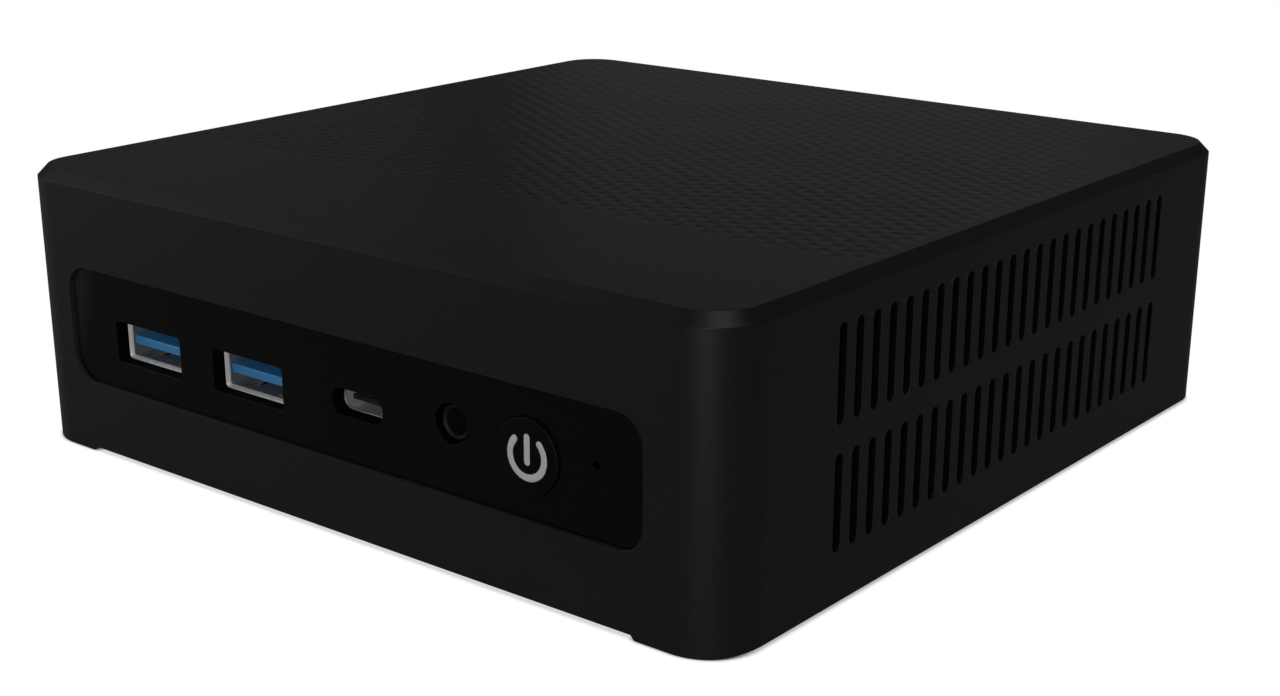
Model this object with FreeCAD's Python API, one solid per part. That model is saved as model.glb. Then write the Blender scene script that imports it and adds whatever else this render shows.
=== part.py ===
import FreeCAD, Part
import math
import os

# A small square desktop computer. All sizes are in millimetres.
# Origin: middle of the footprint on the table plane. +X is to the right seen from the front,
# +Y runs from the front to the back, +Z is up.

V = FreeCAD.Vector

# ---- housing -------------------------------------------------------------------------------
WIDTH = 128.0
DEPTH = 128.0
HEIGHT = 41.0
WALL = 2.0
CORNER_R = 7.7
TOP_BEVEL = 1.5
FRONT_Y = -DEPTH / 2
REAR_Y = DEPTH / 2
INNER_X = WIDTH / 2 - WALL
INNER_Y = DEPTH / 2 - WALL
CEILING_Z = HEIGHT - WALL
LUG_Z = 0.03            # the corner lugs stop just above the table, so the rubber feet carry the load
FRONT_RELIEF = (0.6, 50.4, 51.1)    # relief under the front and rear walls: height, both slope ends
SIDE_RELIEF = (0.5, 57.5, 62.0)     # the same under the side walls, up to the rounded corners
EPS = 0.02              # smallest gap between pieces that nearly touch

# ---- vent slots ------------------------------------------------------------------------------
SLOT_COUNT = 24
SLOT_PITCH = 3.62
SLOT_WIDTH = 1.6
SLOT_ROWS = ((7.35, 19.85), (23.45, 35.95))
REAR_SLOT_ROW = (33.1, 37.3)

# ---- front window and its ports (X and Z of each centre) -------------------------------------
WINDOW = (-53.55, 52.35, 10.8, 27.77)
WINDOW_R = 3.85
PANEL_RECESS = 0.6
PANEL_GAP = 0.1
FLANGE_LIP = 1.6
FLANGE_THICK = 1.2
USB_X = (-37.0, -16.0)
USB_Z = 18.0
USB_CUTOUT = (14.0, 6.0)
USB_SHELL = (13.2, 5.7)
USB_FRONT_Y = FRONT_Y + 1.95
USB_REAR_Y = USB_FRONT_Y + 14.0
USB_TONGUE = (11.1, 1.35)
USB_TONGUE_Z = 0.045    # tongue centre above the socket centre
USB_TONGUE_Y = (USB_FRONT_Y + 0.65, USB_REAR_Y)
USB_C_AT = (5.15, 18.8)
USB_C_CUTOUT = (9.4, 3.7)
USB_C_SHELL = (8.94, 3.26)
USB_C_Y = (FRONT_Y + 2.25, FRONT_Y + 10.5)
AUDIO_AT = (21.83, 20.16)
BUTTON_AT = (34.6, 19.0)
BUTTON_R = 4.8
BUTTON_GAP = 0.1
BUTTON_FACE_Y = FRONT_Y + 0.15
BUTTON_FLANGE_Y = (-INNER_Y + FLANGE_THICK + 0.05, -INNER_Y + FLANGE_THICK + 1.0)
ICON_BACK_Y = BUTTON_FACE_Y + 1.4
ICON_R = 2.68           # middle of the ring's stroke
ICON_STROKE = 0.96
ICON_GAP_DEG = 46.0     # half of the ring's opening at the top
ICON_BAR = (-0.7, 2.38)    # ends of the bar's middle line, above and below the button's centre
SWITCH_TIP_Y = -57.4
PINHOLE_AT = (45.07, 20.2)
PINHOLE_R = 0.6

# ---- rear opening and its ports --------------------------------------------------------------
REAR_WINDOW = (-52.0, 52.0, 12.2, 30.8)
REAR_WINDOW_R = 3.0
DC_AT = (40.5, 20.5)
HDMI_X = (24.0, 6.0)
HDMI_Z = 18.3
ETHERNET_X = -14.0
ETHERNET_SIZE = (16.2, 13.6)
REAR_USB_X = -34.0
REAR_USB_Z = (18.3, 26.4)
REAR_USB_END_Y = 49.6
REAR_PORT_Y = REAR_Y - 0.9

# ---- posts, screws and feet ------------------------------------------------------------------
COVER_POST = 56.2
COVER_POST_R = 3.6
COVER_Z = (0.9, 2.7)
COVER_GAP = 0.15
BOARD_POSTS = ((-49.5, -45.5), (49.5, -45.5), (-49.5, 45.0), (49.5, 45.0))
BOARD_POST_R = 3.0
FOOT_XY = (45.0, 50.0)
FOOT_R = 5.5
FOOT_TOP_Z = 1.5
MOUNT_SPACING = 75.0
MOUNT_HOLE_R = 1.65
INSERT_R = 2.7
INSERT_Z = (1.0, 5.6)

# ---- mainboard and cooling -------------------------------------------------------------------
BOARD_Z = (13.4, 15.0)
BOARD_HALF = (59.5, 58.9)
BOARD_NOTCH = 51.8
DIE_TOP_Z = 16.4
COOLER_Y = -3.0
COOLER_HALF = 38.0
SINK_BASE_Z = 19.4
FIN_TOP_Z = 28.4
FAN_TOP_Z = 36.4
FAN_BORE_R = 34.6
FAN_SCREW = 34.0
SHAFT_R = 1.0
SHAFT_CLEARANCE = 0.03
HUB_R = 13.0
HUB_WALL = 1.4
BLADES = 9
BLADE_TIP_R = 33.6

# ---- cards on the underside of the mainboard -------------------------------------------------
CARD_Z = (10.4, 11.2)
SSD_X = (-41.0, 40.7)
SSD_Y = -22.0
WIFI_X = (10.0, 40.7)
WIFI_Y = -46.8
CARD_WIDTH = 22.0
SOCKET_X = (38.0, 46.0)
BATTERY_AT = (46.0, 15.0)
MEMORY_X = (-43.6, 24.0)
MEMORY_Y = (2.0, 34.4)
MEMORY_Z = (9.2, 10.4)

# ---- antennas under the ceiling --------------------------------------------------------------
ANTENNA_X = (8.0, 48.0)
ANTENNA_Y = (-60.5, -52.5)
ANTENNA_Z = (CEILING_Z - 0.3, CEILING_Z)
CABLE_R = 0.55
CABLE_LOW_Z = 8.3
CABLE_SIDE_X = 60.8


# ---- shape helpers ---------------------------------------------------------------------------
def box(x, y, z):
    """Block between two limits on each axis."""
    return Part.makeBox(x[1] - x[0], y[1] - y[0], z[1] - z[0], V(x[0], y[0], z[0]))


def box_at(cx, cy, size_x, size_y, z):
    """Block centred on (cx, cy) that spans the two heights in z."""
    return box((cx - size_x / 2, cx + size_x / 2), (cy - size_y / 2, cy + size_y / 2), z)


def rod_z(x, y, r, z):
    """Upright cylinder."""
    return Part.makeCylinder(r, z[1] - z[0], V(x, y, z[0]), V(0, 0, 1))


def rod_y(x, z, r, y):
    """Cylinder along Y."""
    return Part.makeCylinder(r, y[1] - y[0], V(x, y[0], z), V(0, 1, 0))


def tube_z(x, y, r_out, r_in, z):
    """Upright tube."""
    return rod_z(x, y, r_out, z).cut(rod_z(x, y, r_in, z))


def rounded_outline(a0, a1, b0, b1, r, place):
    """Closed wire of a rounded rectangle; place(a, b) gives the point in space."""
    s = r * math.sqrt(0.5)
    corners = (
        ((a1 - r, b0 + r), (1, -1)),
        ((a1 - r, b1 - r), (1, 1)),
        ((a0 + r, b1 - r), (-1, 1)),
        ((a0 + r, b0 + r), (-1, -1)),
    )
    edges = []
    previous = None
    first = None
    for (ca, cb), (sa, sb) in corners:
        along_a = place(ca + sa * r, cb)
        along_b = place(ca, cb + sb * r)
        middle = place(ca + sa * s, cb + sb * s)
        start, end = (along_b, along_a) if sa * sb < 0 else (along_a, along_b)
        if previous is None:
            first = start
        elif (start - previous).Length > 1e-6:
            edges.append(Part.makeLine(previous, start))
        edges.append(Part.Arc(start, middle, end).toShape())
        previous = end
    if (first - previous).Length > 1e-6:
        edges.append(Part.makeLine(previous, first))
    return Part.Wire(edges)


def upright_block(x, y, r, z):
    """Rounded rectangle extruded along Z."""
    wire = rounded_outline(x[0], x[1], y[0], y[1], r, lambda a, b: V(a, b, z[0]))
    return Part.Face(wire).extrude(V(0, 0, z[1] - z[0]))


def facing_block(x, z, r, y):
    """Rounded rectangle extruded along Y."""
    wire = rounded_outline(x[0], x[1], z[0], z[1], r, lambda a, b: V(a, y[0], b))
    return Part.Face(wire).extrude(V(0, y[1] - y[0], 0))


def facing_at(cx, cz, size, r, y):
    """Rounded rectangle of a given size centred on (cx, cz), extruded along Y."""
    half_x = size[0] / 2
    half_z = size[1] / 2
    return facing_block((cx - half_x, cx + half_x), (cz - half_z, cz + half_z), r, y)


def prism(points, along):
    """Extruded polygon."""
    return Part.Face(Part.makePolygon(points + [points[0]])).extrude(along)


def merged(shapes):
    """One solid from overlapping or touching shapes."""
    shapes = list(shapes)
    return shapes[0].fuse(shapes[1:]).removeSplitter()


def without(shape, cutters):
    """Shape with a list of cutters removed."""
    return shape.cut(list(cutters))


def group(shapes):
    """Separate solids that share one node."""
    return Part.makeCompound(list(shapes))


def hex_socket(x, y, across, z):
    """Six-sided recess cutter for a screw head."""
    points = []
    for i in range(6):
        angle = math.radians(60 * i)
        points.append(V(x + across * math.cos(angle), y + across * math.sin(angle), z[0]))
    return prism(points, V(0, 0, z[1] - z[0]))


def screw_up(x, y, head_r, head_z, shank_r, tip_z):
    """Screw driven upwards: its head hangs below the shank."""
    body = rod_z(x, y, head_r, head_z).fuse(rod_z(x, y, shank_r, (head_z[1], tip_z)))
    depth = (head_z[1] - head_z[0]) * 0.6
    return body.cut(hex_socket(x, y, head_r * 0.5, (head_z[0], head_z[0] + depth)))


def screw_down(x, y, head_r, head_z, shank_r, tip_z):
    """Screw driven downwards: its head sits on top of the shank."""
    body = rod_z(x, y, head_r, head_z).fuse(rod_z(x, y, shank_r, (tip_z, head_z[0])))
    depth = (head_z[1] - head_z[0]) * 0.6
    return body.cut(hex_socket(x, y, head_r * 0.5, (head_z[1] - depth, head_z[1])))


def wire_run(points, r, bend_r=1.5):
    """Round cable that follows a list of points, with each corner rounded to bend_r."""
    edges = []
    last = points[0]
    for before, corner, after in zip(points, points[1:], points[2:]):
        back = (before - corner).normalize()
        ahead = (after - corner).normalize()
        half_angle = back.getAngle(ahead) / 2
        setback = bend_r / math.tan(half_angle)
        start = corner + back * setback
        end = corner + ahead * setback
        bisector = (back + ahead).normalize()
        middle = corner + bisector * (bend_r / math.sin(half_angle) - bend_r)
        edges.append(Part.makeLine(last, start))
        edges.append(Part.Arc(start, middle, end).toShape())
        last = end
    edges.append(Part.makeLine(last, points[-1]))
    profile = Part.Wire(Part.makeCircle(r, points[0], points[1] - points[0]))
    return Part.Wire(edges).makePipeShell([profile], True, False)


def mirror_spots(x, y):
    """The four points (+-x, +-y)."""
    return [(sx * x, sy * y) for sx in (-1, 1) for sy in (-1, 1)]


def slot_offsets():
    """Centres of the vent slots along their row."""
    return [(i - (SLOT_COUNT - 1) / 2) * SLOT_PITCH for i in range(SLOT_COUNT)]


# ---- casing ----------------------------------------------------------------------------------
def side_slot(y, z, x):
    """Cutter for one upright slot with round ends in a side wall."""
    half = SLOT_WIDTH / 2
    wire = rounded_outline(y - half, y + half, z[0], z[1], half, lambda a, b: V(x[0], a, b))
    return Part.Face(wire).extrude(V(x[1] - x[0], 0, 0))


def vent_cutters():
    """All slot cutters: two rows in each side wall and one row in the rear wall."""
    through = WALL + 2.0
    cutters = []
    for offset in slot_offsets():
        for row in SLOT_ROWS:
            cutters.append(side_slot(offset, row, (INNER_X - 1, INNER_X - 1 + through)))
            cutters.append(side_slot(offset, row, (-INNER_X + 1 - through, -INNER_X + 1)))
        half = SLOT_WIDTH / 2
        span = (offset - half, offset + half)
        cutters.append(facing_block(span, REAR_SLOT_ROW, half, (INNER_Y - 1, REAR_Y + 1)))
    return cutters


def relief_outline(height, slope_start, slope_end):
    """(along the wall, height) corners of a relief that slopes down to the lugs at both ends."""
    below = -1.0
    return (
        (-slope_end, below),
        (slope_end, below),
        (slope_end, LUG_Z),
        (slope_start, height),
        (-slope_start, height),
        (-slope_end, LUG_Z),
    )


def relief_cutters():
    """Shallow reliefs under the walls that leave a lug at each corner."""
    start = INNER_Y - 2.0
    reach = 5.0
    cutters = []
    for sign in (-1, 1):
        front = [V(u, sign * start, z) for u, z in relief_outline(*FRONT_RELIEF)]
        cutters.append(prism(front, V(0, sign * reach, 0)))
        side = [V(sign * start, u, z) for u, z in relief_outline(*SIDE_RELIEF)]
        cutters.append(prism(side, V(sign * reach, 0, 0)))
    return cutters


def cover_posts():
    """Corner posts for the cover screws, ribbed to the walls."""
    rib = 0.6
    z = (COVER_Z[1], CEILING_Z)
    pieces = []
    for x, y in mirror_spots(COVER_POST, COVER_POST):
        pieces.append(rod_z(x, y, COVER_POST_R, z))
        x_wall = math.copysign(INNER_X + 0.5, x)
        y_wall = math.copysign(INNER_Y + 0.5, y)
        pieces.append(box(sorted((x, x_wall)), (y - rib, y + rib), z))
        pieces.append(box((x - rib, x + rib), sorted((y, y_wall)), z))
    return pieces


def housing():
    outer = upright_block((-WIDTH / 2, WIDTH / 2), (FRONT_Y, REAR_Y), CORNER_R, (LUG_Z, HEIGHT))
    top_edges = [e for e in outer.Edges if e.BoundBox.ZMin > HEIGHT - 0.01]
    outer = outer.makeChamfer(TOP_BEVEL, top_edges)
    cavity = upright_block((-INNER_X, INNER_X), (-INNER_Y, INNER_Y), CORNER_R - WALL, (-1, CEILING_Z))
    shell = outer.cut(cavity)
    board_posts = [rod_z(x, y, BOARD_POST_R, (BOARD_Z[1], CEILING_Z)) for x, y in BOARD_POSTS]
    shell = merged([shell] + cover_posts() + board_posts)
    cutters = vent_cutters() + relief_cutters()
    window = facing_block(WINDOW[:2], WINDOW[2:], WINDOW_R, (FRONT_Y - 1, -INNER_Y + 0.5))
    rear = facing_block(REAR_WINDOW[:2], REAR_WINDOW[2:], REAR_WINDOW_R, (INNER_Y - 0.5, REAR_Y + 1))
    cutters += [window, rear]
    for x, y in mirror_spots(COVER_POST, COVER_POST):
        cutters.append(rod_z(x, y, 1.0, (COVER_Z[1] - 1, 12.7)))
    for x, y in BOARD_POSTS:
        cutters.append(rod_z(x, y, 0.85, (BOARD_Z[1] - 1, 21.0)))
    return without(shell, cutters)


def window_insert(window, r, inner_y, outer_y):
    """Plate that fills a window from inside, with a flange against the wall's inner face."""
    gap = PANEL_GAP
    x = (window[0] + gap, window[1] - gap)
    z = (window[2] + gap, window[3] - gap)
    plug = facing_block(x, z, r - gap, sorted((inner_y, outer_y)))
    x = (window[0] - FLANGE_LIP, window[1] + FLANGE_LIP)
    z = (window[2] - FLANGE_LIP, window[3] + FLANGE_LIP)
    flange_y = inner_y + math.copysign(FLANGE_THICK, -inner_y)
    flange = facing_block(x, z, r + FLANGE_LIP, sorted((inner_y, flange_y)))
    return merged([plug, flange])


def front_panel():
    plate = window_insert(WINDOW, WINDOW_R, -INNER_Y, FRONT_Y + PANEL_RECESS)
    y = (FRONT_Y - 1, -INNER_Y + FLANGE_THICK + 1)
    cutters = [facing_at(x, USB_Z, USB_CUTOUT, 0.5, y) for x in USB_X]
    cutters.append(facing_at(USB_C_AT[0], USB_C_AT[1], USB_C_CUTOUT, 1.8, y))
    cutters.append(rod_y(AUDIO_AT[0], AUDIO_AT[1], 2.65, y))
    cutters.append(rod_y(BUTTON_AT[0], BUTTON_AT[1], BUTTON_R + BUTTON_GAP, y))
    cutters.append(rod_y(PINHOLE_AT[0], PINHOLE_AT[1], PINHOLE_R, y))
    return without(plate, cutters)


def hdmi_outline(x, grow, y):
    """HDMI socket prism: wide at the top, with its lower corners cut in."""
    half = 7.5 + grow
    top = HDMI_Z + 2.78 + grow
    bottom = HDMI_Z - 2.78 - grow
    shoulder = HDMI_Z - 0.6
    foot = 5.6 + grow
    points = [
        V(x - half, y[0], top),
        V(x + half, y[0], top),
        V(x + half, y[0], shoulder),
        V(x + foot, y[0], bottom),
        V(x - foot, y[0], bottom),
        V(x - half, y[0], shoulder),
    ]
    return prism(points, V(0, y[1] - y[0], 0))


def rear_panel():
    plate = window_insert(REAR_WINDOW, REAR_WINDOW_R, INNER_Y, REAR_Y - PANEL_RECESS)
    y = (INNER_Y - FLANGE_THICK - 1, REAR_Y + 1)
    cutters = [hdmi_outline(x, 0.3, y) for x in HDMI_X]
    cutters += [facing_at(REAR_USB_X, z, USB_CUTOUT, 0.5, y) for z in REAR_USB_Z]
    cutters.append(rod_y(DC_AT[0], DC_AT[1], 3.75, y))
    width, height = ETHERNET_SIZE
    x = (ETHERNET_X - width / 2 - 0.2, ETHERNET_X + width / 2 + 0.2)
    cutters.append(box(x, y, (BOARD_Z[1] - 0.2, BOARD_Z[1] + height + 0.2)))
    return without(plate, cutters)


def bottom_cover():
    half_x = INNER_X - COVER_GAP
    half_y = INNER_Y - COVER_GAP
    plate = upright_block((-half_x, half_x), (-half_y, half_y), CORNER_R - WALL - COVER_GAP, COVER_Z)
    mounts = mirror_spots(MOUNT_SPACING / 2, MOUNT_SPACING / 2)
    bosses = [rod_z(x, y, INSERT_R + 1.2, (COVER_Z[0], 6.0)) for x, y in mounts]
    plate = merged([plate] + bosses)
    cutters = [rod_z(x, y, INSERT_R, (COVER_Z[0] - 1, INSERT_Z[1])) for x, y in mounts]
    for x, y in mirror_spots(*FOOT_XY):
        cutters.append(rod_z(x, y, FOOT_R + 0.1, (COVER_Z[0] - 1, FOOT_TOP_Z)))
    for x, y in mirror_spots(COVER_POST, COVER_POST):
        cutters.append(rod_z(x, y, 1.35, (COVER_Z[0] - 1, COVER_Z[1] + 1)))
        cutters.append(rod_z(x, y, 2.6, (COVER_Z[0] - 1, 1.7)))
    vent_pitch = 4.0
    vent_half = 0.9
    for i in range(14):
        x = (i - 6.5) * vent_pitch
        for y in ((-26.0, -3.0), (3.0, 26.0)):
            cutters.append(upright_block((x - vent_half, x + vent_half), y, vent_half, (0, 4)))
    return without(plate, cutters)


def rubber_feet():
    feet = []
    for x, y in mirror_spots(*FOOT_XY):
        foot = rod_z(x, y, FOOT_R, (0, FOOT_TOP_Z))
        rim = [e for e in foot.Edges if e.BoundBox.ZMax < 0.01]
        feet.append(foot.makeChamfer(0.3, rim))
    return group(feet)


def cover_screws():
    spots = mirror_spots(COVER_POST, COVER_POST)
    return group([screw_up(x, y, 2.4, (0.95, 1.7), 1.0 - EPS, 10.0) for x, y in spots])


def mount_inserts():
    spots = mirror_spots(MOUNT_SPACING / 2, MOUNT_SPACING / 2)
    return group([tube_z(x, y, INSERT_R, MOUNT_HOLE_R, INSERT_Z) for x, y in spots])


# ---- mainboard and what is soldered to its top ------------------------------------------------
def mainboard():
    half_x, half_y = BOARD_HALF
    plate = box((-half_x, half_x), (-half_y, half_y), BOARD_Z)
    z = (BOARD_Z[0] - 1, BOARD_Z[1] + 1)
    cutters = []
    for sx, sy in mirror_spots(1, 1):
        x = sorted((sx * BOARD_NOTCH, sx * 70))
        y = sorted((sy * BOARD_NOTCH, sy * 70))
        cutters.append(box(x, y, z))
    cutters += [rod_z(x, y, 1.1, z) for x, y in BOARD_POSTS]
    return without(plate, cutters)


def board_screws():
    head_z = (BOARD_Z[0] - 1.0, BOARD_Z[0])
    return group([screw_up(x, y, 2.1, head_z, 0.85 - EPS, 20.0) for x, y in BOARD_POSTS])


def processor():
    carrier = box_at(0, COOLER_Y, 28.0, 25.0, (BOARD_Z[1], BOARD_Z[1] + 0.8))
    die = box_at(0, COOLER_Y, 12.0, 10.0, (BOARD_Z[1] + 0.8, DIE_TOP_Z))
    return merged([carrier, die])


def board_chips():
    z = (BOARD_Z[1], BOARD_Z[1] + 0.9)
    chips = (
        (-14.0, 38.3, 6.5),
        (6.0, 43.0, 6.0),
        (21.8, -44.6, 5.0),
        (-26.5, -44.6, 5.0),
        (-48.0, 33.0, 8.0),
    )
    return group([box_at(x, y, size, size, z) for x, y, size in chips])


def power_chokes():
    z = (BOARD_Z[1], BOARD_Z[1] + 3.0)
    chokes = []
    for i in range(4):
        choke = box_at(50.0, -30.0 + 10.0 * i, 6.8, 6.8, z)
        upright = [e for e in choke.Edges if e.BoundBox.ZLength > 2.9]
        chokes.append(choke.makeChamfer(0.8, upright))
    return group(chokes)


def capacitors():
    z = (BOARD_Z[1], BOARD_Z[1] + 5.8)
    cans = []
    for i in range(5):
        can = rod_z(-49.0, -30.0 + 11.0 * i, 3.15, z)
        rim = [e for e in can.Edges if e.BoundBox.ZMin > z[1] - 0.01]
        cans.append(can.makeFillet(0.4, rim))
    return group(cans)


# ---- cooler ----------------------------------------------------------------------------------
def cooler_spots(x, y):
    return [(px, py + COOLER_Y) for px, py in mirror_spots(x, y)]


def heatsink():
    y = (COOLER_Y - COOLER_HALF, COOLER_Y + COOLER_HALF)
    base = box((-COOLER_HALF, COOLER_HALF), y, (DIE_TOP_Z, SINK_BASE_Z))
    fin_pitch = 3.0
    fin_half = 0.45
    fins = []
    for i in range(25):
        x = (i - 12) * fin_pitch
        fins.append(box((x - fin_half, x + fin_half), y, (SINK_BASE_Z, FIN_TOP_Z)))
    fan_spots = cooler_spots(FAN_SCREW, FAN_SCREW)
    bosses = [rod_z(px, py, 3.2, (SINK_BASE_Z, FIN_TOP_Z)) for px, py in fan_spots]
    body = merged([base] + fins + bosses)
    cutters = [rod_z(px, py, 1.5, (21.0, FIN_TOP_Z + 1)) for px, py in fan_spots]
    for px, py in cooler_spots(30.0, 20.0):
        cutters.append(rod_z(px, py, 3.0, (SINK_BASE_Z, FIN_TOP_Z + 1)))
        cutters.append(rod_z(px, py, 1.6, (DIE_TOP_Z - 1, SINK_BASE_Z + 1)))
    return without(body, cutters)


def heatsink_standoffs():
    z = (BOARD_Z[1], DIE_TOP_Z)
    return group([tube_z(x, y, 2.6, 1.27, z) for x, y in cooler_spots(30.0, 20.0)])


def heatsink_screws():
    head_z = (SINK_BASE_Z, SINK_BASE_Z + 1.8)
    return group([screw_down(x, y, 2.4, head_z, 1.25, 15.1) for x, y in cooler_spots(30.0, 20.0)])


def fan_frame():
    x = (-COOLER_HALF, COOLER_HALF)
    y = (COOLER_Y - COOLER_HALF, COOLER_Y + COOLER_HALF)
    ring = upright_block(x, y, 4.0, (FIN_TOP_Z, FAN_TOP_Z))
    bore = rod_z(0, COOLER_Y, FAN_BORE_R, (FIN_TOP_Z - 1, FAN_TOP_Z + 1))
    hole_z = (FIN_TOP_Z - 1, FAN_TOP_Z + 1)
    holes = [rod_z(px, py, 1.6, hole_z) for px, py in cooler_spots(FAN_SCREW, FAN_SCREW)]
    ring = without(ring, [bore] + holes)
    floor_z = (FIN_TOP_Z, FIN_TOP_Z + 1.4)
    disc = rod_z(0, COOLER_Y, 11.0, floor_z)
    struts = []
    for i in range(4):
        strut = box((9.0, FAN_BORE_R + 0.6), (-1.5, 1.5), floor_z)
        strut.rotate(V(0, 0, 0), V(0, 0, 1), 45 + 90 * i)
        strut.translate(V(0, COOLER_Y, 0))
        struts.append(strut)
    sleeve = rod_z(0, COOLER_Y, 3.2, (FIN_TOP_Z, 34.0))
    body = merged([ring, disc, sleeve] + struts)
    return body.cut(rod_z(0, COOLER_Y, 2.2, (FIN_TOP_Z + 0.5, 35.0)))


def fan_bearing():
    return tube_z(0, COOLER_Y, 2.2, SHAFT_R + SHAFT_CLEARANCE, (FIN_TOP_Z + 0.5, 34.2))


def fan_stator():
    core = tube_z(0, COOLER_Y, 9.6, 3.2, (30.3, 34.0))
    gaps = []
    for i in range(4):
        gap = box((5.0, 11.0), (-0.9, 0.9), (30, 35))
        gap.rotate(V(0, 0, 0), V(0, 0, 1), 90 * i)
        gap.translate(V(0, COOLER_Y, 0))
        gaps.append(gap)
    return without(core, gaps)


def fan_shaft():
    return rod_z(0, COOLER_Y, SHAFT_R, (29.2, 35.5))


def fan_magnet_ring():
    return tube_z(0, COOLER_Y, HUB_R - HUB_WALL, 10.3, (30.6, 34.6))


def blade_section(r, chord, pitch, lead):
    """Four-cornered cross-section of a fan blade at radius r, around the Z axis at height 33."""
    centre = V(r * math.cos(lead), r * math.sin(lead), 33.0)
    tangent = V(-math.sin(lead), math.cos(lead), 0)
    along = tangent * math.cos(pitch) + V(0, 0, math.sin(pitch))
    normal = V(0, 0, math.cos(pitch)) - tangent * math.sin(pitch)
    half_chord = chord / 2
    half_thick = 0.45
    points = []
    for a, b in ((-1, -1), (1, -1), (1, 1), (-1, 1)):
        points.append(centre + along * (a * half_chord) + normal * (b * half_thick))
    return Part.makePolygon(points + [points[0]])


def fan_impeller():
    cup = rod_z(0, 0, HUB_R, (30.4, 35.9))
    cup = cup.cut(rod_z(0, 0, HUB_R - HUB_WALL, (29.0, 34.9)))
    boss = rod_z(0, 0, 2.0, (34.5, 35.5))
    sections = [
        blade_section(12.0, 7.5, math.radians(38), math.radians(0)),
        blade_section(23.0, 12.5, math.radians(28), math.radians(9)),
        blade_section(35.5, 16.5, math.radians(20), math.radians(22)),
    ]
    blade = Part.makeLoft(sections, True)
    z = (30.3, 35.7)
    blade = blade.common(rod_z(0, 0, BLADE_TIP_R, z)).cut(rod_z(0, 0, HUB_R - 0.7, (29.0, 37.0)))
    blades = []
    for i in range(BLADES):
        turned = blade.copy()
        turned.rotate(V(0, 0, 0), V(0, 0, 1), 360.0 / BLADES * i)
        blades.append(turned)
    body = merged([cup, boss] + blades)
    body = body.cut(rod_z(0, 0, SHAFT_R, (34.0, 35.5)))
    body.translate(V(0, COOLER_Y, 0))
    return body


def fan_screws():
    head_z = (FAN_TOP_Z, FAN_TOP_Z + 1.4)
    spots = cooler_spots(FAN_SCREW, FAN_SCREW)
    return group([screw_down(x, y, 2.5, head_z, 1.5 - EPS, 22.0) for x, y in spots])


def fan_header():
    body = box((43.0, 50.0), (11.0, 16.0), (BOARD_Z[1], 18.0))
    return body.cut(box((43.8, 49.2), (11.8, 15.2), (16.0, 19.0)))


def fan_cable():
    plug = box((43.85, 49.15), (11.85, 15.15), (16.0 + EPS, 20.5))
    points = [V(COOLER_HALF, 8.0, 31.0), V(41.5, 8.0, 31.0), V(46.5, 11.5, 27.0), V(46.5, 13.5, 20.0)]
    return merged([plug, wire_run(points, 0.9)])


# ---- cards and battery under the mainboard ----------------------------------------------------
def memory_socket():
    lip = 3.1
    x = (MEMORY_X[0] - 0.1 - lip, MEMORY_X[1] + 0.1 + lip)
    z = (8.4, BOARD_Z[0])
    bar = box(x, (32.0, 38.5), z)
    arm_y = (6.0, 32.0)
    left = box((x[0], x[0] + lip), arm_y, z)
    right = box((x[1] - lip, x[1]), arm_y, z)
    gap = 0.05
    slot_x = (MEMORY_X[0] - gap, MEMORY_X[1] + gap)
    slot = box(slot_x, (31.0, 34.5), (MEMORY_Z[0] - gap, MEMORY_Z[1] + gap))
    return merged([bar, left, right]).cut(slot)


def memory_module():
    plate = box(MEMORY_X, MEMORY_Y, MEMORY_Z)
    middle = (MEMORY_X[0] + MEMORY_X[1]) / 2
    chips = []
    for i in range(4):
        x = middle + (i - 1.5) * 15.5
        chips.append(box_at(x, 17.0, 11.0, 10.0, (MEMORY_Z[0] - 1.0, MEMORY_Z[0])))
        chips.append(box_at(x, 17.0, 11.0, 10.0, (MEMORY_Z[1], MEMORY_Z[1] + 1.0)))
    key = box_at(middle + 3.0, MEMORY_Y[1], 1.5, 5.0, (MEMORY_Z[0] - 1, MEMORY_Z[1] + 1))
    return merged([plate] + chips).cut(key)


def card_socket(y):
    body = box(SOCKET_X, (y - 12.0, y + 12.0), (9.6, BOARD_Z[0]))
    gap = 0.05
    half = CARD_WIDTH / 2 + gap
    slot_z = (CARD_Z[0] - gap, CARD_Z[1] + gap)
    slot = box((SOCKET_X[0] - 1, WIFI_X[1] + 2 * gap), (y - half, y + half), slot_z)
    return body.cut(slot)


def edge_card(x, y, chips):
    """Plug-in card with a half-round screw notch in its free end and chips on its lower face."""
    half = CARD_WIDTH / 2
    plate = box(x, (y - half, y + half), CARD_Z)
    pads = [box_at(cx, cy, sx, sy, (CARD_Z[0] - 1.0, CARD_Z[0])) for cx, cy, sx, sy in chips]
    notch = rod_z(x[0], y, 1.75, (CARD_Z[0] - 1, CARD_Z[1] + 1))
    return merged([plate] + pads).cut(notch)


def ssd_socket():
    return card_socket(SSD_Y)


def ssd_module():
    chips = ((-20.0, SSD_Y, 18.0, 14.0), (2.0, SSD_Y, 18.0, 14.0), (24.0, SSD_Y, 12.0, 12.0))
    return edge_card(SSD_X, SSD_Y, chips)


def wifi_socket():
    return card_socket(WIFI_Y)


def wifi_card():
    return edge_card(WIFI_X, WIFI_Y, ((26.0, WIFI_Y, 14.0, 15.0),))


def card_screw_spots():
    return ((SSD_X[0], SSD_Y), (WIFI_X[0], WIFI_Y))


def card_standoffs():
    return group([tube_z(x, y, 2.6, 0.8, (CARD_Z[1], BOARD_Z[0])) for x, y in card_screw_spots()])


def card_screws():
    head_z = (CARD_Z[0] - 0.7, CARD_Z[0])
    return group([screw_up(x, y, 2.7, head_z, 0.8 - EPS, 13.0) for x, y in card_screw_spots()])


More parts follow.
